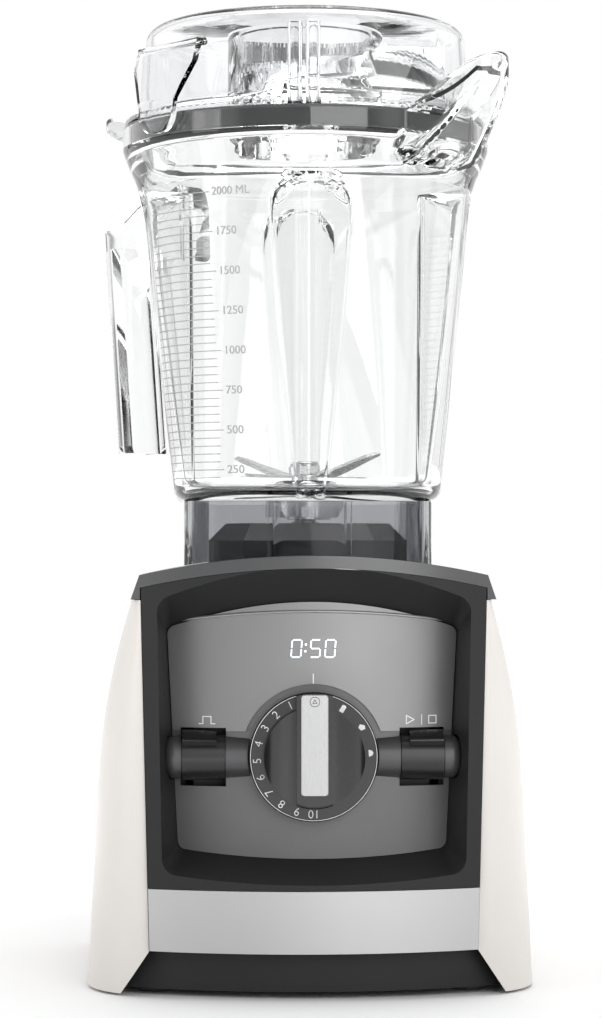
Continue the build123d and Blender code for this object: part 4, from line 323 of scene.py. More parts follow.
def dress_mesh(name, mesh, finish, body, sharp=35.0):
    """Cleans a mesh, shades it and puts it on its body."""
    bm = bmesh.new()
    bm.from_mesh(mesh)
    bmesh.ops.remove_doubles(bm, verts=bm.verts, dist=MERGE_WITHIN)
    bmesh.ops.recalc_face_normals(bm, faces=bm.faces)
    bm.to_mesh(mesh)
    bm.free()
    mesh.polygons.foreach_set("use_smooth", [True] * len(mesh.polygons))
    mesh.set_sharp_from_angle(angle=math.radians(sharp))
    mesh.materials.clear()
    mesh.materials.append(FINISH[finish])
    piece = put(name, mesh)
    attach(piece, body)
    return piece


def smooth_copy(node_name, finish, body):
    """A merged, smoothly shaded copy of a CAD node that stands for it."""
    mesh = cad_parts[node_name].data.copy()
    piece = dress_mesh("smooth_" + node_name, mesh, finish, body)
    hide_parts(node_name)
    return piece


def second_finish(piece, finish, chosen):
    """Gives another finish to the faces that a test picks."""
    piece.data.materials.append(FINISH[finish])
    for face in piece.data.polygons:
        if chosen(face):
            face.material_index = 1


def loop_of_rings(rings):
    """Vertices and faces of a closed band of rings, the last ring joined to the first."""
    count = len(rings[0])
    vertices = [point for ring in rings for point in ring]
    faces = []
    for i in range(len(rings)):
        here, there = i * count, ((i + 1) % len(rings)) * count
        for j in range(count):
            k = (j + 1) % count
            faces.append((here + j, here + k, there + k, there + j))
    return vertices, faces


def lathe(profile, steps):
    """Vertices and faces of a closed profile of (radius, height) points turned about Z."""
    rings = [[(r * math.cos(2 * math.pi * s / steps), r * math.sin(2 * math.pi * s / steps), z)
              for s in range(steps)] for r, z in profile]
    return loop_of_rings(rings)


def smooth_step(value, low, high):
    """0 below low, 1 above high, smooth between."""
    t = min(1.0, max(0.0, (value - low) / (high - low)))
    return t * t * (3 - 2 * t)


def soft_over(value, softness):
    """The positive part of a value, with a round corner."""
    return 0.5 * (value + math.hypot(value, softness))


# ======================= jar =======================
FLUTE_STEPS, WALL_STEPS = 14, 12        # columns of half a flute, and from its edge on
CORNER_STEPS, SPOUT_STEPS = 24, 60      # columns of a plain corner, and of the spout's corner
FLUTE_REACH = math.radians(20.0)        # half the angle given to a flute's columns
STRAIGHT_STEPS, ARCH_STEPS, RIM_STEPS, EDGE_STEPS = 22, 16, 22, 5
FLOOR_SHARES = (1.0, 0.7, 0.4, 0.15, 0.0)
# Radii up the round shoulder and rim, each with its height over the neck.
SHOULDER_OUT = [(JAR_NECK_R, 0), (81.0 * MM, 6 * MM), (83.4 * MM, 11 * MM), (RIM_R, 19 * MM),
                (RIM_R, 30 * MM)]
SHOULDER_IN = [(JAR_NECK_R - JAR_WALL, 0), (77.6 * MM, 8 * MM), (79.7 * MM, 18.4 * MM),
               (RIM_R - RIM_WALL, 20 * MM), (RIM_R - RIM_WALL, 30 * MM)]


def climb_to(z):
    """Share of the way from the jar's bottom to its neck."""
    return (z - JAR_BOTTOM_Z) / (JAR_NECK_Z - JAR_BOTTOM_Z)


def wall_half(z, inset):
    """Half width of the jar's rounded square, and how far up its wall it is."""
    share = min(1.0, max(0.0, climb_to(z)))
    return JAR_BOTTOM_HALF + share * (JAR_NECK_R - JAR_BOTTOM_HALF) - inset, share


def jar_section(turn, z, inset):
    """Radius of the jar's rounded square wall in one direction, less an inset."""
    half, share = wall_half(z, inset)
    corner = JAR_BOTTOM_CORNER + share * (JAR_NECK_R - JAR_BOTTOM_CORNER) - inset
    across = abs(math.cos(turn)), abs(math.sin(turn))
    main, side = max(across), min(across)
    if half * side / main <= half - corner:
        return half / main
    centre = half - corner
    along = centre * (main + side)
    return along + math.sqrt(max(0.0, along * along - 2 * centre * centre + corner * corner))


def flute_section(off, crest_r, nose_r):
    """Radius of a flute's outside in a direction that is off its middle by an angle."""
    nose_at = crest_r + nose_r
    apex = nose_at - nose_r / math.sin(FLUTE_LEAN)
    touch = math.atan2(nose_r * math.cos(FLUTE_LEAN), nose_at - nose_r * math.sin(FLUTE_LEAN))
    if off < touch:
        return nose_at * math.cos(off) - math.sqrt(
            max(0.0, nose_r ** 2 - (nose_at * math.sin(off)) ** 2))
    opening = math.cos(off) * math.tan(FLUTE_LEAN) - math.sin(off)
    return apex * math.tan(FLUTE_LEAN) / opening if opening > 1e-3 else 1.0


def arch_half_width(z, top_z, arch_r):
    """Half width of a flute's arched opening at a height."""
    if z <= top_z - arch_r:
        return arch_r
    return math.sqrt(max(0.0, arch_r ** 2 - (z - top_z + arch_r) ** 2))


def flute_edge(z, inset):
    """Angle from a flute's middle to its edge on the wall."""
    half = wall_half(z, inset)[0]
    apex = FLUTE_CREST_R + JAR_WALL + FLUTE_NOSE_R - FLUTE_NOSE_R / math.sin(FLUTE_LEAN)
    flank = (half - apex) * math.tan(FLUTE_LEAN)
    arch = arch_half_width(z, FLUTE_TOP_Z - JAR_WALL / 2, FLUTE_ARCH_R - JAR_WALL / 2)
    return max(0.02, math.atan2(min(flank, max(arch, 1e-5)), half))


def rim_radius(z, inner):
    """Radius of the shoulder and rim, which is round in plan."""
    steps = SHOULDER_IN if inner else SHOULDER_OUT
    for (r0, h0), (r1, h1) in zip(steps, steps[1:]):
        if z - JAR_NECK_Z <= h1:
            share = max(0.0, (z - JAR_NECK_Z - h0) / (h1 - h0))
            return r0 + (r1 - r0) * share
    return steps[-1][0]


def spout_radius(off, z, inner):
    """Radius of the spout in a direction off its middle, or 0 where there is none."""
    inset = SPOUT_WALL if inner else 0.0
    rise = z - SPOUT_FLOOR_Z - (SPOUT_WALL + 1 * MM if inner else 0.0)
    if rise <= 0 or abs(off) > SPOUT_REACH:
        return 0.0
    nose_r, root_half = SPOUT_NOSE_R - inset, SPOUT_ROOT_HALF - inset
    reach = RIM_R + SPOUT_SLOPE * rise - SPOUT_BEND * rise * rise - inset * 0.4
    run = SPOUT_NOSE_AT - SPOUT_ROOT_R
    lean = math.asin((root_half - nose_r) / math.hypot(run, root_half - nose_r))
    touch_x = SPOUT_NOSE_AT + nose_r * math.sin(lean)
    touch_y = nose_r * math.cos(lean)
    side_slope = (root_half - touch_y) / (touch_x - SPOUT_ROOT_R)
    off = abs(off)
    side = (root_half + side_slope * SPOUT_ROOT_R) / (math.sin(off) + side_slope * math.cos(off))
    across = SPOUT_NOSE_AT * math.sin(off)
    if across < nose_r:
        nose = SPOUT_NOSE_AT * math.cos(off) + math.sqrt(nose_r ** 2 - across ** 2)
        side = nose if side * math.cos(off) > touch_x else side
    return min(side, reach / math.cos(off))


def signed_off(turn, middle):
    """Angle from one direction to another, between -180 and 180 degrees."""
    return (turn - middle + math.pi) % (2 * math.pi) - math.pi


def jar_radius(turn, z, inner=False):
    """Radius of the jar's outside, or its inside, in one direction at one height."""
    quarter = math.pi / 2
    off = abs(signed_off(turn, round(turn / quarter) * quarter))
    inset = JAR_WALL if inner else 0.0
    wall = jar_section(turn, z, inset)
    if z <= FLUTE_TOP_Z:
        crest = FLUTE_CREST_R if inner else FLUTE_CREST_R + JAR_WALL
        nose = FLUTE_NOSE_R + (FLUTE_NOSE_GAIN if inner else 0.0)
        top = FLUTE_TOP_Z if inner else FLUTE_TOP_Z - JAR_WALL
        arch = FLUTE_ARCH_R if inner else FLUTE_ARCH_R - JAR_WALL
        depth = soft_over(wall - flute_section(off, crest, nose), FLUTE_SOFT)
        width = arch_half_width(z, top, arch)
        gate = 1 - smooth_step(wall * math.tan(off), width - FLUTE_SOFT, width + FLUTE_SOFT)
        wall -= depth * gate * (1.0 if width > 0 else 0.0)
    if z > JAR_NECK_Z:
        wall = rim_radius(z, inner)
        spout = spout_radius(signed_off(turn, SPOUT_TURN), z, inner)
        wall += soft_over(spout - wall, SPOUT_SOFT) if spout else 0.0
    return wall


def upright_point(r, turn, z):
    """A point at a radius, a direction in plan and a height."""
    return (r * math.cos(turn), r * math.sin(turn), z)


def jar_turns(z):
    """Directions of the jar's columns, close together at the edges of the flutes."""
    edge = min(flute_edge(z, 0.0), FLUTE_REACH * 0.9)
    half = []
    for i in range(FLUTE_STEPS):
        half.append(edge * 0.5 * (1 - math.cos(math.pi * i / FLUTE_STEPS)))
    for i in range(WALL_STEPS):
        half.append(edge + (FLUTE_REACH - edge) * (1 - math.cos(0.5 * math.pi * i / WALL_STEPS)))
    turns = []
    for quarter in range(4):
        middle = quarter * math.pi / 2
        between = SPOUT_STEPS if quarter == 3 else CORNER_STEPS
        turns += [middle - a for a in reversed(half[1:])] + [middle + a for a in half]
        span = math.pi / 2 - 2 * FLUTE_REACH
        turns += [middle + FLUTE_REACH + span * i / between for i in range(between)]
    return turns


def jar_ring(z, inner):
    """One level ring round the jar."""
    return [upright_point(jar_radius(turn, z, inner), turn, z) for turn in jar_turns(z)]


def lip_height(turn):
    """Height of the jar's lip, which climbs along the spout."""
    off = signed_off(turn, SPOUT_TURN)
    plan = spout_radius(off, RIM_TOP_Z + SPOUT_RISE, False)
    along = max(0.0, plan * math.cos(off) - RIM_R) if plan else 0.0
    reach = SPOUT_NOSE_AT + SPOUT_NOSE_R - RIM_R
    return RIM_TOP_Z + SPOUT_RISE * min(1.0, along / reach)


def rim_ring(share, inner, shrink=0.0, drop=0.0):
    """A ring of the rim zone, at a share of the way from the neck to the lip."""
    ring = []
    for turn in jar_turns(JAR_NECK_Z):
        z = JAR_NECK_Z + (lip_height(turn) - JAR_NECK_Z) * share - drop
        r = jar_radius(turn, max(z, JAR_NECK_Z + 1e-5), inner)
        r += shrink if inner else -shrink
        ring.append(upright_point(r, turn, z))
    return ring


def jar_levels():
    """Heights of the jar's rings, from above the bottom edge to the neck."""
    low = JAR_BOTTOM_Z + JAR_EDGE_R
    arch = FLUTE_TOP_Z - JAR_WALL / 2 - FLUTE_ARCH_R
    levels = [low + (arch - low) * i / STRAIGHT_STEPS for i in range(STRAIGHT_STEPS)]
    levels += [arch + (JAR_NECK_Z - 0.5 * MM - arch) * math.sin(0.5 * math.pi * i / ARCH_STEPS)
               for i in range(ARCH_STEPS + 1)]
    return levels


def foot_sizes(inner):
    """Level of the floor's outside or inside, and the rounding that joins it to the wall."""
    if inner:
        return JAR_BOTTOM_Z + JAR_FLOOR_T, JAR_INNER_EDGE_R
    return JAR_BOTTOM_Z, JAR_EDGE_R


def floor_ring(z, share, inner):
    """A ring of the floor, between the wall's foot and the sleeve hole."""
    foot_z, edge = foot_sizes(inner)
    ring = []
    for turn in jar_turns(foot_z + edge):
        r = jar_radius(turn, foot_z + edge, inner) - edge
        r = r + (SLEEVE_HOLE_R - r) * share
        ring.append(upright_point(r, turn, z))
    return ring


def edge_ring(angle, inner):
    """A ring of the rounding between the floor and the wall."""
    foot_z, edge = foot_sizes(inner)
    z = foot_z + edge * (1 - math.cos(angle))
    shrink = edge * (1 - math.sin(angle))
    ring = []
    for turn in jar_turns(foot_z + edge):
        r = jar_radius(turn, foot_z + edge, inner) - shrink
        ring.append(upright_point(r, turn, z))
    return ring


def make_jar():
    """The clear jar as one closed smooth shell."""
    floor_z = JAR_BOTTOM_Z + JAR_FLOOR_T
    bends = [0.5 * math.pi * i / EDGE_STEPS for i in range(1, EDGE_STEPS)]
    rim_shares = [i / RIM_STEPS for i in range(1, RIM_STEPS)]
    rings = [floor_ring(JAR_BOTTOM_Z, s, False) for s in FLOOR_SHARES]
    rings += [edge_ring(angle, False) for angle in bends]
    rings += [jar_ring(z, False) for z in jar_levels()]
    rings += [rim_ring(s, False) for s in rim_shares]
    rings += [rim_ring(1.0, False, 0.0, LIP_EDGE), rim_ring(1.0, False, LIP_EDGE),
              rim_ring(1.0, True, LIP_EDGE), rim_ring(1.0, True, 0.0, LIP_EDGE)]
    rings += [rim_ring(s, True) for s in reversed(rim_shares)]
    rings += [jar_ring(z, True) for z in reversed(jar_levels()) if z > floor_z + JAR_INNER_EDGE_R]
    rings += [edge_ring(angle, True) for angle in reversed(bends)]
    rings += [floor_ring(floor_z, s, True) for s in reversed(FLOOR_SHARES)]
    piece = make_piece("clear_jar", *loop_of_rings(rings), "clear", "container", "jar_clear",
                       50.0)
    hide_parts("jar")
    second_finish(piece, "clear_floor",
                  lambda face: face.center.z < floor_z + 0.1 * MM and abs(face.normal.z) > 0.99)


make_jar()


# ======================= gasket, skirt, handle, lid, plug and clips =======================
GASKET_IN_R, GASKET_OUT_R = 80.05 * MM, 83.0 * MM
GASKET_LOW_Z, GASKET_HIGH_Z = 387.2 * MM, 395.2 * MM
GASKET_BULGE = 1.2 * MM
GASKET_ROUNDNESS = 0.45         # a small power of the cosine gives a nearly flat bulge
GASKET_STEPS, GASKET_SIDES = 12, 240
TAB_FROM_X = -84.5 * MM         # the lid's lift tab stands out to the left of this


def make_gasket():
    """A soft bulging ring in the groove of the lid's wall."""
    middle_z = (GASKET_LOW_Z + GASKET_HIGH_Z) / 2
    half = (GASKET_HIGH_Z - GASKET_LOW_Z) / 2
    profile = [(GASKET_IN_R, GASKET_HIGH_Z), (GASKET_IN_R, GASKET_LOW_Z)]
    for step in range(GASKET_STEPS + 1):
        turn = math.pi * (step / GASKET_STEPS - 0.5)
        bulge = max(0.0, math.cos(turn)) ** GASKET_ROUNDNESS
        profile.append((GASKET_OUT_R - GASKET_BULGE * (1 - bulge),
                        middle_z + half * math.sin(turn)))
    ring = lathe(profile, GASKET_SIDES)
    piece = make_piece("gasket_ring", *ring, "rubber", "lid", "soft_rubber", 60.0)
    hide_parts("lid_gasket")


make_gasket()
smooth_copy("jar_skirt", "smoke", "container")
smooth_copy("jar_handle", "frosted", "container")
lid_copy = smooth_copy("lid_shell", "lid_clear", "lid")
second_finish(lid_copy, "tab", lambda face: face.center.x < TAB_FROM_X)
smooth_copy("lid_plug", "lid_clear", "plug")
smooth_copy("front_lid_clip", "lid_clear", "front_clip")
smooth_copy("rear_lid_clip", "lid_clear", "rear_clip")


# ======================= ribs inside the lid's front wall =======================
RIB_SINK = 0.3 * MM  # how far a rib reaches into its wall
RIB_HALF, RIB_DEPTH = 3.3 * MM, 4.2 * MM
RIB_STEPS = 12
# Heights up a rib, each with the radius of the wall it stands on.
RIB_LEVELS = [(387.0 * MM, 77.1 * MM), (397.5 * MM, 77.1 * MM), (403.0 * MM, 75.1 * MM),
              (435.0 * MM, 73.1 * MM)]


def make_wall_rib(name, middle_x):
    """An upright half-round rib inside the lid's front wall."""
    rings = []
    for z, wall_r in RIB_LEVELS:
        ring = []
        for i in range(2 * RIB_STEPS):
            turn = math.pi * i / RIB_STEPS
            x = middle_x + RIB_HALF * math.cos(turn)
            inward = RIB_DEPTH * math.sin(turn) if i <= RIB_STEPS else -RIB_SINK
            ring.append((x, inward - math.sqrt(wall_r ** 2 - x ** 2), z))
        rings.append(ring)
    count = len(rings[0])
    vertices, faces = loop_of_rings(rings)
    faces = faces[:-count]  # the rib is open from its last ring to its first
    faces += [tuple(reversed(range(count))), tuple(range(len(vertices) - count, len(vertices)))]
    make_piece(name, vertices, faces, "lid_clear", "lid", "lid_clear", 40.0)


make_wall_rib("lid_rib_left", -7.4 * MM)
make_wall_rib("lid_rib_right", 0.6 * MM)


# ======================= marks =======================
def unit_strip(width, height, steps):
    """A thin raised strip as (u, v, h) points: u runs from 0 to 1 in steps."""
    points, faces = [], []
    half = width / 2
    for i in range(steps + 1):
        u = i / steps
        points += [(u, -half, 0.0), (u, half, 0.0), (u, half, height), (u, -half, height)]
    for i in range(steps):
        a, b = 4 * i, 4 * i + 4
        faces += [(a + j, a + (j + 1) % 4, b + (j + 1) % 4, b + j) for j in range(4)]
    last = 4 * steps
    faces += [(3, 2, 1, 0), (last, last + 1, last + 2, last + 3)]
    return points, faces


def slanted_bar(start, end, width, height):
    """A thin raised bar between two (u, v) points."""
    along = Vector((end[0] - start[0], end[1] - start[1]))
    side = Vector((-along.y, along.x)).normalized() * width / 2
    ends = [Vector(start) + side, Vector(start) - side, Vector(end) - side, Vector(end) + side]
    points = [(p.x, p.y, 0.0) for p in ends] + [(p.x, p.y, height) for p in ends]
    faces = [(3, 2, 1, 0), (4, 5, 6, 7)]
    faces += [(j, (j + 1) % 4, 4 + (j + 1) % 4, 4 + j) for j in range(4)]
    return points, faces


def lettering(text, size, height, align="CENTER", thin=0.0):
    """Text as (u, v, h) points and faces, centred on its own middle in v, thinned if asked."""
    curve = bpy.data.curves.new("lettering", "FONT")
    curve.body = text
    curve.size = size
    curve.extrude = height / 2
    curve.offset = -thin
    curve.align_x = align
    curve.align_y = "CENTER"
    curve.resolution_u = 3
    mesh = taken_mesh(put("lettering", curve))
    points = [(v.co.x, v.co.y, v.co.z + height / 2) for v in mesh.vertices]
    faces = [tuple(p.vertices) for p in mesh.polygons]
    bpy.data.curves.remove(curve)
    bpy.data.meshes.remove(mesh)
    return points, faces


def gather(parts, place):
    """Joins (points, faces) parts after each point goes through a placing function."""
    vertices, faces = [], []
    for points, part_faces in parts:
        base = len(vertices)
        vertices += [place(*p) for p in points]
        faces += [tuple(base + i for i in face) for face in part_faces]
    return vertices, faces


def shifted(part, du, dv, turn):
    """A (points, faces) part turned and moved in its own plane."""
    points, faces = part
    c, s = math.cos(turn), math.sin(turn)
    return [(u * c - v * s + du, u * s + v * c + dv, h) for u, v, h in points], faces


OVERLAY_R = FRONT_CENTRE_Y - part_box("panel_overlay")[0].y
PRINT_GAP = 0.02 * MM  # keeps flat marks off the overlay under them


def on_overlay(u, v, h):
    """A point on the bowed overlay."""
    return (u, FRONT_CENTRE_Y - math.sqrt(OVERLAY_R ** 2 - u * u) - h - PRINT_GAP, v)


SEGMENT_SKEW = 0.08  # how far the timer's digits lean
DIGIT_W, DIGIT_H = 4.3 * MM, 7.7 * MM
SEGMENT_W, SEGMENT_STAND = 0.62 * MM, 0.08 * MM
SEGMENT_PULL = 0.09  # share of a segment left open at each end
SEGMENTS = {"0": "abcdef", "5": "afgcd"}


def timer_digit(digit, left, foot):
    """Seven-segment digit as a list of bars."""
    mid, top = DIGIT_H / 2, DIGIT_H
    ends = {"a": ((0, top), (DIGIT_W, top)), "b": ((DIGIT_W, top), (DIGIT_W, mid)),
            "c": ((DIGIT_W, mid), (DIGIT_W, 0)), "d": ((0, 0), (DIGIT_W, 0)),
            "e": ((0, 0), (0, mid)), "f": ((0, mid), (0, top)), "g": ((0, mid), (DIGIT_W, mid))}
    bars = []
    for key in SEGMENTS[digit]:
        (u0, v0), (u1, v1) = ends[key]
        pull_u, pull_v = (u1 - u0) * SEGMENT_PULL, (v1 - v0) * SEGMENT_PULL
        a, b = (u0 + pull_u, v0 + pull_v), (u1 - pull_u, v1 - pull_v)
        lean = [(left + u + v * SEGMENT_SKEW, foot + v) for u, v in (a, b)]
        bars.append(slanted_bar(lean[0], lean[1], SEGMENT_W, SEGMENT_STAND))
    return bars


TIMER_FOOT_Z = 148.9 * MM
TIMER_DIGITS = (("0", -9.9 * MM), ("5", -1.5 * MM), ("0", 5.1 * MM))  # with their left ends
COLON_U, COLON_DOT = -3.7 * MM, 0.9 * MM
timer_bars = []
for digit, left in TIMER_DIGITS:
    timer_bars += timer_digit(digit, left, TIMER_FOOT_Z)
for dot_z in (2.2 * MM, 5.2 * MM):
    dot_u, dot_v = COLON_U + dot_z * SEGMENT_SKEW, TIMER_FOOT_Z + dot_z
    timer_bars.append(slanted_bar((dot_u, dot_v), (dot_u, dot_v + COLON_DOT), COLON_DOT,
                                  SEGMENT_STAND))
make_piece("timer_digits", *gather(timer_bars, on_overlay), "lit", "base", "screen_glass")


ICON_LINE, ICON_STAND = 0.45 * MM, 0.05 * MM


def polyline_bars(points, width=ICON_LINE, closed=False):
    """Bars along a run of (u, v) points in millimetres."""
    run = [(u * MM, v * MM) for u, v in points]
    pairs = list(zip(run, run[1:])) + ([(run[-1], run[0])] if closed else [])
    bars = []
    for a, b in pairs:
        along = (Vector(b) - Vector(a)).normalized() * width / 2
        start, end = Vector(a) - along, Vector(b) + along
        bars.append(slanted_bar(tuple(start), tuple(end), width, ICON_STAND))
    return bars


icons = polyline_bars([(-50.6, 119.2), (-48.9, 119.2), (-48.9, 122.4), (-45.3, 122.4),
                       (-45.3, 119.2), (-43.6, 119.2)])
icons += polyline_bars([(41.7, 119.0), (41.7, 122.8), (45.2, 120.9)], closed=True)
icons += polyline_bars([(48.7, 118.7), (48.7, 123.0)], 0.35 * MM)
icons += polyline_bars([(51.9, 119.2), (51.9, 122.6), (55.3, 122.6), (55.3, 119.2)], closed=True)
icons += polyline_bars([(0.0, 137.4), (0.0, 141.4)])
make_piece("panel_marks", *gather(icons, on_overlay), "mark", "base", "panel_white")

# Satin rim round the panel, on the bowed floor of the recess.
RIM_FOOT_Z, RIM_FOOT_HALF = 61.8 * MM, 61.4 * MM
RIM_HEAD_Z, RIM_HEAD_HALF = 164.8 * MM, 66.2 * MM
RIM_ARCH = 4.4 * MM
RIM_CORNER = 4.0 * MM
RIM_CORNER_STEPS, RIM_ARCH_STEPS = 6, 24
RIM_BEAD_R = 0.7 * MM


def panel_outline():
    """(u, v) points round the panel: straight foot and sides, an arched head, round corners."""
    def corner(at, start):
        turns = [math.radians(start + 90 * i / RIM_CORNER_STEPS)
                 for i in range(RIM_CORNER_STEPS + 1)]
        return [(at[0] + RIM_CORNER * math.cos(a), at[1] + RIM_CORNER * math.sin(a)) for a in turns]
    foot = RIM_FOOT_Z + RIM_CORNER
    head = RIM_HEAD_Z - RIM_CORNER
    arch = []
    for i in range(1, RIM_ARCH_STEPS):
        share = 1 - 2 * i / RIM_ARCH_STEPS
        arch.append((share * (RIM_HEAD_HALF - RIM_CORNER), RIM_HEAD_Z + RIM_ARCH * (1 - share ** 2)))
    run = corner((-RIM_FOOT_HALF + RIM_CORNER, foot), 180)
    run += corner((RIM_FOOT_HALF - RIM_CORNER, foot), 270)
    run += corner((RIM_HEAD_HALF - RIM_CORNER, head), 0) + arch
    return run + corner((-RIM_HEAD_HALF + RIM_CORNER, head), 90)


def bead_along(run, place, radius, steps):
    """A closed bead of round section along a closed run of (u, v) points."""
    rings = []
    for i, here in enumerate(run):
        before, after = Vector(run[i - 1]), Vector(run[(i + 1) % len(run)])
        across = (after - before).normalized()
        side = Vector((across.y, -across.x))
        ring = []
        for k in range(steps):
            turn = 2 * math.pi * k / steps
            spot = Vector(here) + side * (radius * math.cos(turn))
            ring.append(place(spot.x, spot.y, radius * math.sin(turn)))
        rings.append(ring)
    return loop_of_rings(rings)


make_piece("panel_rim", *bead_along(panel_outline(), on_overlay, RIM_BEAD_R, 8), "rim", "base",
           "control_grey", 60.0)

# Dial marks: numerals, a ring and three plain glyphs on the dial's skirt.
SKIRT_FACE_Y = -97.6 * MM
MARK_R = 24.9 * MM
FIRST_NUMBER_AT, NUMBER_STEP = 24.5, 17.28  # degrees round the dial
NUMBER_SIZE, NUMBER_THIN = 5.3 * MM, 0.06 * MM
DIAL_MARK_STAND, DIAL_MARK_GAP = 0.06 * MM, 0.01 * MM
# Program glyphs: degrees round the dial, and an outline in millimetres.
GLYPHS = [(-31, [(-1.0, -1.7), (1.0, -1.7), (1.0, 1.4), (0.2, 1.8), (-1.0, 1.4)]),
          (-58, [(-1.5, 0.0), (-0.6, -1.4), (1.2, -1.0), (1.5, 1.0), (0.0, 1.6)]),
          (-86, [(-1.5, -0.6), (1.5, -0.6), (1.1, 0.9), (0.0, 1.5), (-1.1, 0.9)])]


def on_dial(u, v, h):
    """A point on the face of the dial's skirt."""
    return (u, SKIRT_FACE_Y - h - DIAL_MARK_GAP, DIAL_Z + v)


def round_dial(part, degrees):
    """A part moved to its place among the dial's marks."""
    clock = math.radians(degrees)
    return shifted(part, -MARK_R * math.sin(clock), MARK_R * math.cos(clock), clock)


dial_marks = []
for number in range(1, 11):
    text = lettering(str(number), NUMBER_SIZE, DIAL_MARK_STAND, thin=NUMBER_THIN)
    dial_marks.append(round_dial(text, FIRST_NUMBER_AT + (number - 1) * NUMBER_STEP))
for degrees, outline in GLYPHS:
    base = [(u * MM, v * MM, 0.0) for u, v in outline]
    top = [(u, v, DIAL_MARK_STAND) for u, v, _ in base]
    n = len(outline)
    sides = [(i, (i + 1) % n, n + (i + 1) % n, n + i) for i in range(n)]
    glyph = (base + top, [tuple(reversed(range(n))), tuple(range(n, 2 * n))] + sides)
    dial_marks.append(round_dial(glyph, degrees))
make_piece("dial_marks", *gather(dial_marks, on_dial), "mark", "dial", "panel_white")


def flat_ring(radius, width, height, centre_z, face_y, steps):
    """A thin raised ring on a plane that faces the front."""
    profile = [(radius, 0.0), (radius + width, 0.0), (radius + width, height), (radius, height)]
    rings = [[(r * math.cos(2 * math.pi * s / steps), face_y - h,
               centre_z + r * math.sin(2 * math.pi * s / steps)) for s in range(steps)]
             for r, h in profile]
    return loop_of_rings(rings)


EDGE_RING_INSET, EDGE_RING_W, EDGE_RING_STAND = 0.75 * MM, 0.25 * MM, 0.05 * MM
edge_line = flat_ring(DIAL_R - EDGE_RING_INSET, EDGE_RING_W, EDGE_RING_STAND, DIAL_Z,
                      SKIRT_FACE_Y, 96)
make_piece("dial_edge_ring", *edge_line, "mark", "dial", "panel_white")

POINTER_FACE_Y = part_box("dial_pointer")[0].y
EMBLEM_R, EMBLEM_LINE, EMBLEM_STAND = 2.0 * MM, 0.26 * MM, 0.04 * MM
emblem = flat_ring(EMBLEM_R, EMBLEM_LINE, EMBLEM_STAND, DIAL_Z + MARK_R, POINTER_FACE_Y, 40)
make_piece("pointer_ring", *emblem, "gloss_black", "dial", "control_grey")
triangle = polyline_bars([(-0.9, 24.2), (0.9, 24.2), (0.0, 25.9)], 0.24 * MM, closed=True)
emblem = gather(triangle, lambda u, v, h: (u, POINTER_FACE_Y - h, DIAL_Z + v))
make_piece("pointer_triangle", *emblem, "gloss_black", "dial", "control_grey")

# Volume marks on the jar's front left corner: a line every 50 mL, a number every 250 mL.
MARK_LOW_Z, MARK_HIGH_Z = 233.0 * MM, 359.0 * MM
MARK_PITCH = (MARK_HIGH_Z - MARK_LOW_Z) / 35  # between lines 50 mL apart
MARK_LEFT = math.radians(7.0), math.radians(23.0)  # ends of the lines round the corner,
MARK_RIGHT = math.radians(65.0), math.radians(51.0)  # at the jar's bottom and at its neck
MARK_T = 0.45 * MM
MARK_STAND = 0.3 * MM
MARK_STEPS = 18
LONG_MARK_OVERRUN = 2.5  # degrees that every fifth line runs on towards its number
VOLUME_SIZE = 5.4 * MM  # size of the numbers
VOLUME_INDENT = 1.6 * MM  # from a line's end to its number


def node_maths(tree, operation, first, second=0.0):
    """A maths node on two sockets or numbers: returns its result."""
    node = tree.nodes.new("ShaderNodeMath")
    node.operation = operation
    for socket, value in zip(node.inputs, (first, second)):
        if isinstance(value, bpy.types.NodeSocket):
            tree.links.new(value, socket)
        else:
            socket.default_value = value
    return node.outputs["Value"]


def node_between(tree, ends, share):
    """The value a share of the way between two ends."""
    return node_maths(tree, "ADD", node_maths(tree, "MULTIPLY", share, ends[1] - ends[0]), ends[0])


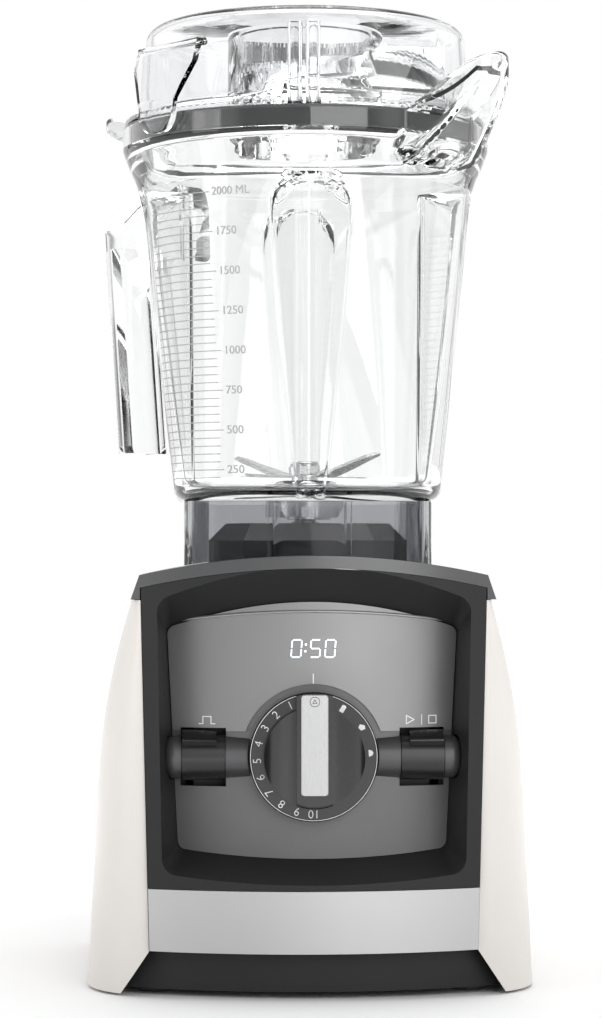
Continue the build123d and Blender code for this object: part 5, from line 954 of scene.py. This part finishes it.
def graduation_tree():
    """Copies of a straight strip, stepped up the jar and wrapped round its corner.

    The strip's x runs from 0 to 1 along a line, its y is the line's thickness and its z is how
    far it stands out from the wall."""
    tree = bpy.data.node_groups.new("graduation_lines", "GeometryNodeTree")
    face = tree.interface
    for name, kind in (("Strip", "Geometry"), ("Lines", "Int"), ("First Height", "Float"),
                       ("Pitch", "Float"), ("Overrun", "Float"), ("Finish", "Material")):
        face.new_socket(name, in_out="INPUT", socket_type="NodeSocket" + kind)
    face.new_socket("Lines", in_out="OUTPUT", socket_type="NodeSocketGeometry")
    nodes, links = tree.nodes, tree.links
    given, out = nodes.new("NodeGroupInput"), nodes.new("NodeGroupOutput")

    ladder = nodes.new("GeometryNodeMeshLine")
    step, start = nodes.new("ShaderNodeCombineXYZ"), nodes.new("ShaderNodeCombineXYZ")
    wire(links, (given, "Lines", ladder, "Count"), (given, "First Height", start, "Y"),
         (given, "Pitch", step, "Y"), (start, "Vector", ladder, "Start Location"),
         (step, "Vector", ladder, "Offset"))
    copies = nodes.new("GeometryNodeInstanceOnPoints")
    real = nodes.new("GeometryNodeRealizeInstances")
    wire(links, (ladder, "Mesh", copies, "Points"), (given, "Strip", copies, "Instance"),
         (copies, "Instances", real, "Geometry"))

    flat, parts = nodes.new("GeometryNodeInputPosition"), nodes.new("ShaderNodeSeparateXYZ")
    wire(links, (flat, "Position", parts, "Vector"))
    along, height, stand = (parts.outputs[axis] for axis in "XYZ")
    climb = node_maths(tree, "DIVIDE", node_maths(tree, "SUBTRACT", height, JAR_BOTTOM_Z),
                       JAR_NECK_Z - JAR_BOTTOM_Z)
    centre = node_between(tree, (JAR_BOTTOM_HALF - JAR_BOTTOM_CORNER, 0.0), climb)
    corner = node_maths(tree, "ADD", node_between(tree, (JAR_BOTTOM_CORNER, JAR_NECK_R), climb),
                        stand)
    left = node_between(tree, MARK_LEFT, climb)
    right = node_maths(tree, "ADD", node_between(tree, MARK_RIGHT, climb),
                       given.outputs["Overrun"])
    sweep = node_maths(tree, "MULTIPLY", node_maths(tree, "SUBTRACT", right, left), along)
    turn = node_maths(tree, "ADD", left, sweep)
    place = nodes.new("ShaderNodeCombineXYZ")
    for axis, wave in (("X", "COSINE"), ("Y", "SINE")):
        reach = node_maths(tree, "MULTIPLY", corner, node_maths(tree, wave, turn))
        outward = node_maths(tree, "ADD", centre, reach)
        links.new(node_maths(tree, "MULTIPLY", outward, -1.0), place.inputs[axis])
    links.new(height, place.inputs["Z"])

    wrap = nodes.new("GeometryNodeSetPosition")
    finish = nodes.new("GeometryNodeSetMaterial")
    wire(links, (real, "Geometry", wrap, "Geometry"), (place, "Vector", wrap, "Position"),
         (wrap, "Geometry", finish, "Geometry"), (given, "Finish", finish, "Material"),
         (finish, "Geometry", out, "Lines"))
    return tree


def grown(name, seed_mesh, tree, values):
    """The plain mesh that a tree makes from a seed mesh, with its named inputs set."""
    holder = put(name, seed_mesh)
    modifier = holder.modifiers.new("grow", "NODES")
    modifier.node_group = tree
    for socket in tree.interface.items_tree:
        if socket.in_out == "INPUT" and socket.name in values:
            modifier[socket.identifier] = values[socket.name]
    return taken_mesh(holder)


def make_volume_lines(name, count, first_z, pitch, overrun):
    """A ladder of lines round the jar's corner."""
    points, faces = unit_strip(MARK_T, MARK_STAND, MARK_STEPS)
    strip = bpy.data.meshes.new("graduation_strip")
    strip.from_pydata(points, [], faces)
    values = {"Lines": count, "First Height": first_z, "Pitch": pitch,
              "Overrun": math.radians(overrun), "Finish": FINISH["jar_mark"]}
    mesh = grown(name, strip, graduation_tree(), values)
    dress_mesh(name, mesh, "jar_mark", "container")


make_volume_lines("fine_volume_lines", 37, MARK_LOW_Z - MARK_PITCH, MARK_PITCH, 0.0)
make_volume_lines("volume_lines", 8, MARK_LOW_Z, 5 * MARK_PITCH, LONG_MARK_OVERRUN)


def corner_place(turn, z):
    """Plan direction and radius of a point on the jar's front left corner."""
    climb = climb_to(z)
    centre = (JAR_BOTTOM_HALF - JAR_BOTTOM_CORNER) * (1 - climb)
    corner = JAR_BOTTOM_CORNER + (JAR_NECK_R - JAR_BOTTOM_CORNER) * climb
    x, y = centre + corner * math.cos(turn), centre + corner * math.sin(turn)
    return math.pi + math.atan2(y, x), math.hypot(x, y)


NUMBER_GAP = 0.06 * MM  # keeps the numbers off the wall they stand on


def on_jar(u, v, h):
    """A point on the jar's outside, u being an angle and v a height."""
    r = jar_radius(u, v) + h + NUMBER_GAP
    return upright_point(r, u, v)


jar_numbers = []
for millilitres in range(250, 2001, 250):
    z = MARK_LOW_Z + (MARK_HIGH_Z - MARK_LOW_Z) * (millilitres - 250) / 1750
    end = MARK_RIGHT[0] + (MARK_RIGHT[1] - MARK_RIGHT[0]) * climb_to(z)
    end += math.radians(LONG_MARK_OVERRUN)
    start, r = corner_place(end, z)
    label = str(millilitres) + (" ML" if millilitres == 2000 else "")
    points, part_faces = lettering(label, VOLUME_SIZE, MARK_STAND, "LEFT")
    jar_numbers.append(([(start + (p[0] + VOLUME_INDENT) / r, z + p[1], p[2]) for p in points],
                        part_faces))
make_piece("volume_numbers", *gather(jar_numbers, on_jar), "jar_mark", "container", "jar_clear")


# ======================= stage, light and camera =======================
FLOOR_HALF = 12.0
FLOOR_SHADE = 0.90
GLOW_FROM, GLOW_TO = 0.2, 0.75  # distance over which the floor's glow grows
GLOW_STRENGTH = 0.75


def make_floor():
    """A plain pale floor whose far part is as bright as the surround, so no horizon shows."""
    half = FLOOR_HALF
    mesh = bpy.data.meshes.new("floor")
    mesh.from_pydata([(-half, -half, 0), (half, -half, 0), (half, half, 0), (-half, half, 0)],
                     [], [(0, 1, 2, 3)])
    material, nodes, links, shader = new_material("pale_floor")
    shader.inputs["Base Color"].default_value = (FLOOR_SHADE, FLOOR_SHADE, FLOOR_SHADE, 1)
    shader.inputs["Roughness"].default_value = 0.85
    shader.inputs["Emission Color"].default_value = (1, 1, 1, 1)
    place = nodes.new("ShaderNodeTexCoord")
    far = nodes.new("ShaderNodeVectorMath")
    far.operation = "LENGTH"
    glow = map_range(nodes, GLOW_FROM, GLOW_TO, 0.0, GLOW_STRENGTH)
    glow.interpolation_type = "SMOOTHSTEP"
    wire(links, (place, "Object", far, 0), (far, "Value", glow, "Value"),
         (glow, "Result", shader, "Emission Strength"))
    mesh.materials.append(material)
    put("floor", mesh)


SURROUND = 1.0  # brightness behind the object
# Grey strips: degrees from straight behind, half width in degrees, brightness.
STRIPS = [(31.0, 1.5, 0.25), (82.0, 3.0, 0.22), (116.0, 4.0, 0.30)]
FRONT_FROM, FRONT_SHADE = 132.0, 0.36  # the darker studio behind the camera
FRONT_EDGE_SHADE, FRONT_SOFT = 0.85, 8.0


def make_world():
    """A pale surround with soft grey upright strips, which draw the clear walls' edges."""
    world = bpy.data.worlds.new("studio")
    bpy.context.scene.world = world
    world.use_nodes = True
    nodes, links = world.node_tree.nodes, world.node_tree.links
    place = nodes.new("ShaderNodeTexCoord")
    split = nodes.new("ShaderNodeSeparateXYZ")
    turn, fold, share = (nodes.new("ShaderNodeMath") for _ in range(3))
    turn.operation, fold.operation, share.operation = "ARCTAN2", "ABSOLUTE", "DIVIDE"
    share.inputs[1].default_value = math.pi
    ramp = nodes.new("ShaderNodeValToRGB")
    wire(links, (place, "Generated", split, "Vector"), (split, "X", turn, 0),
         (split, "Y", turn, 1), (turn, "Value", fold, 0), (fold, "Value", share, 0),
         (share, "Value", ramp, "Fac"), (ramp, "Color", nodes["Background"], "Color"))
    stops = [(0.0, SURROUND)]
    for middle, half, shade in STRIPS:
        soft = half * 0.5
        stops += [(middle - half - soft, SURROUND), (middle - half + soft, shade),
                  (middle + half - soft, shade), (middle + half + soft, SURROUND)]
    stops += [(FRONT_FROM, SURROUND * FRONT_EDGE_SHADE), (FRONT_FROM + FRONT_SOFT, FRONT_SHADE),
              (180.0, FRONT_SHADE)]
    marks = ramp.color_ramp.elements
    for number, (degrees, shade) in enumerate(stops):
        if number in (0, len(stops) - 1):
            mark = marks[0 if number == 0 else -1]
            mark.position = degrees / 180.0
        else:
            mark = marks.new(degrees / 180.0)
        mark.color = (shade, shade, shade, 1)


def softbox(name, place, target, width, height, power):
    """A rectangular area light aimed at a point."""
    light = bpy.data.lights.new(name, "AREA")
    light.shape = "RECTANGLE"
    light.size, light.size_y = width, height
    light.energy = power
    lamp = put(name, light)
    lamp.location = place
    lamp.rotation_euler = (Vector(target) - Vector(place)).to_track_quat("-Z", "Y").to_euler()


CAMERA_AT = (-54.0 * MM, -1400.0 * MM, 192.0 * MM)
CAMERA_PITCH, CAMERA_YAW = math.radians(90.99), math.radians(-2.125)
CAMERA_LENS, SENSOR_WIDTH = 104.36, 36.0  # millimetres


def make_camera():
    """The camera stands level with the base's shoulder, a little left of the middle."""
    camera = bpy.data.cameras.new("camera")
    camera.sensor_width = SENSOR_WIDTH
    camera.lens = CAMERA_LENS
    camera.clip_end = 50.0
    holder = put("camera", camera)
    holder.location = CAMERA_AT
    holder.rotation_euler = (CAMERA_PITCH, 0.0, CAMERA_YAW)
    bpy.context.scene.camera = holder


make_floor()
make_world()
softbox("right_softbox", (0.5, -1.5, 0.66), (0.0, 0.0, 0.15), 1.0, 1.2, 10.0)
softbox("left_softbox", (-1.3, -0.6, 0.6), (0.0, 0.0, 0.2), 0.5, 1.0, 3.0)
softbox("top_softbox", (0.1, 0.1, 1.5), (0.0, 0.0, 0.2), 1.0, 1.0, 9.0)
make_camera()
bpy.context.scene.view_settings.view_transform = "Standard"
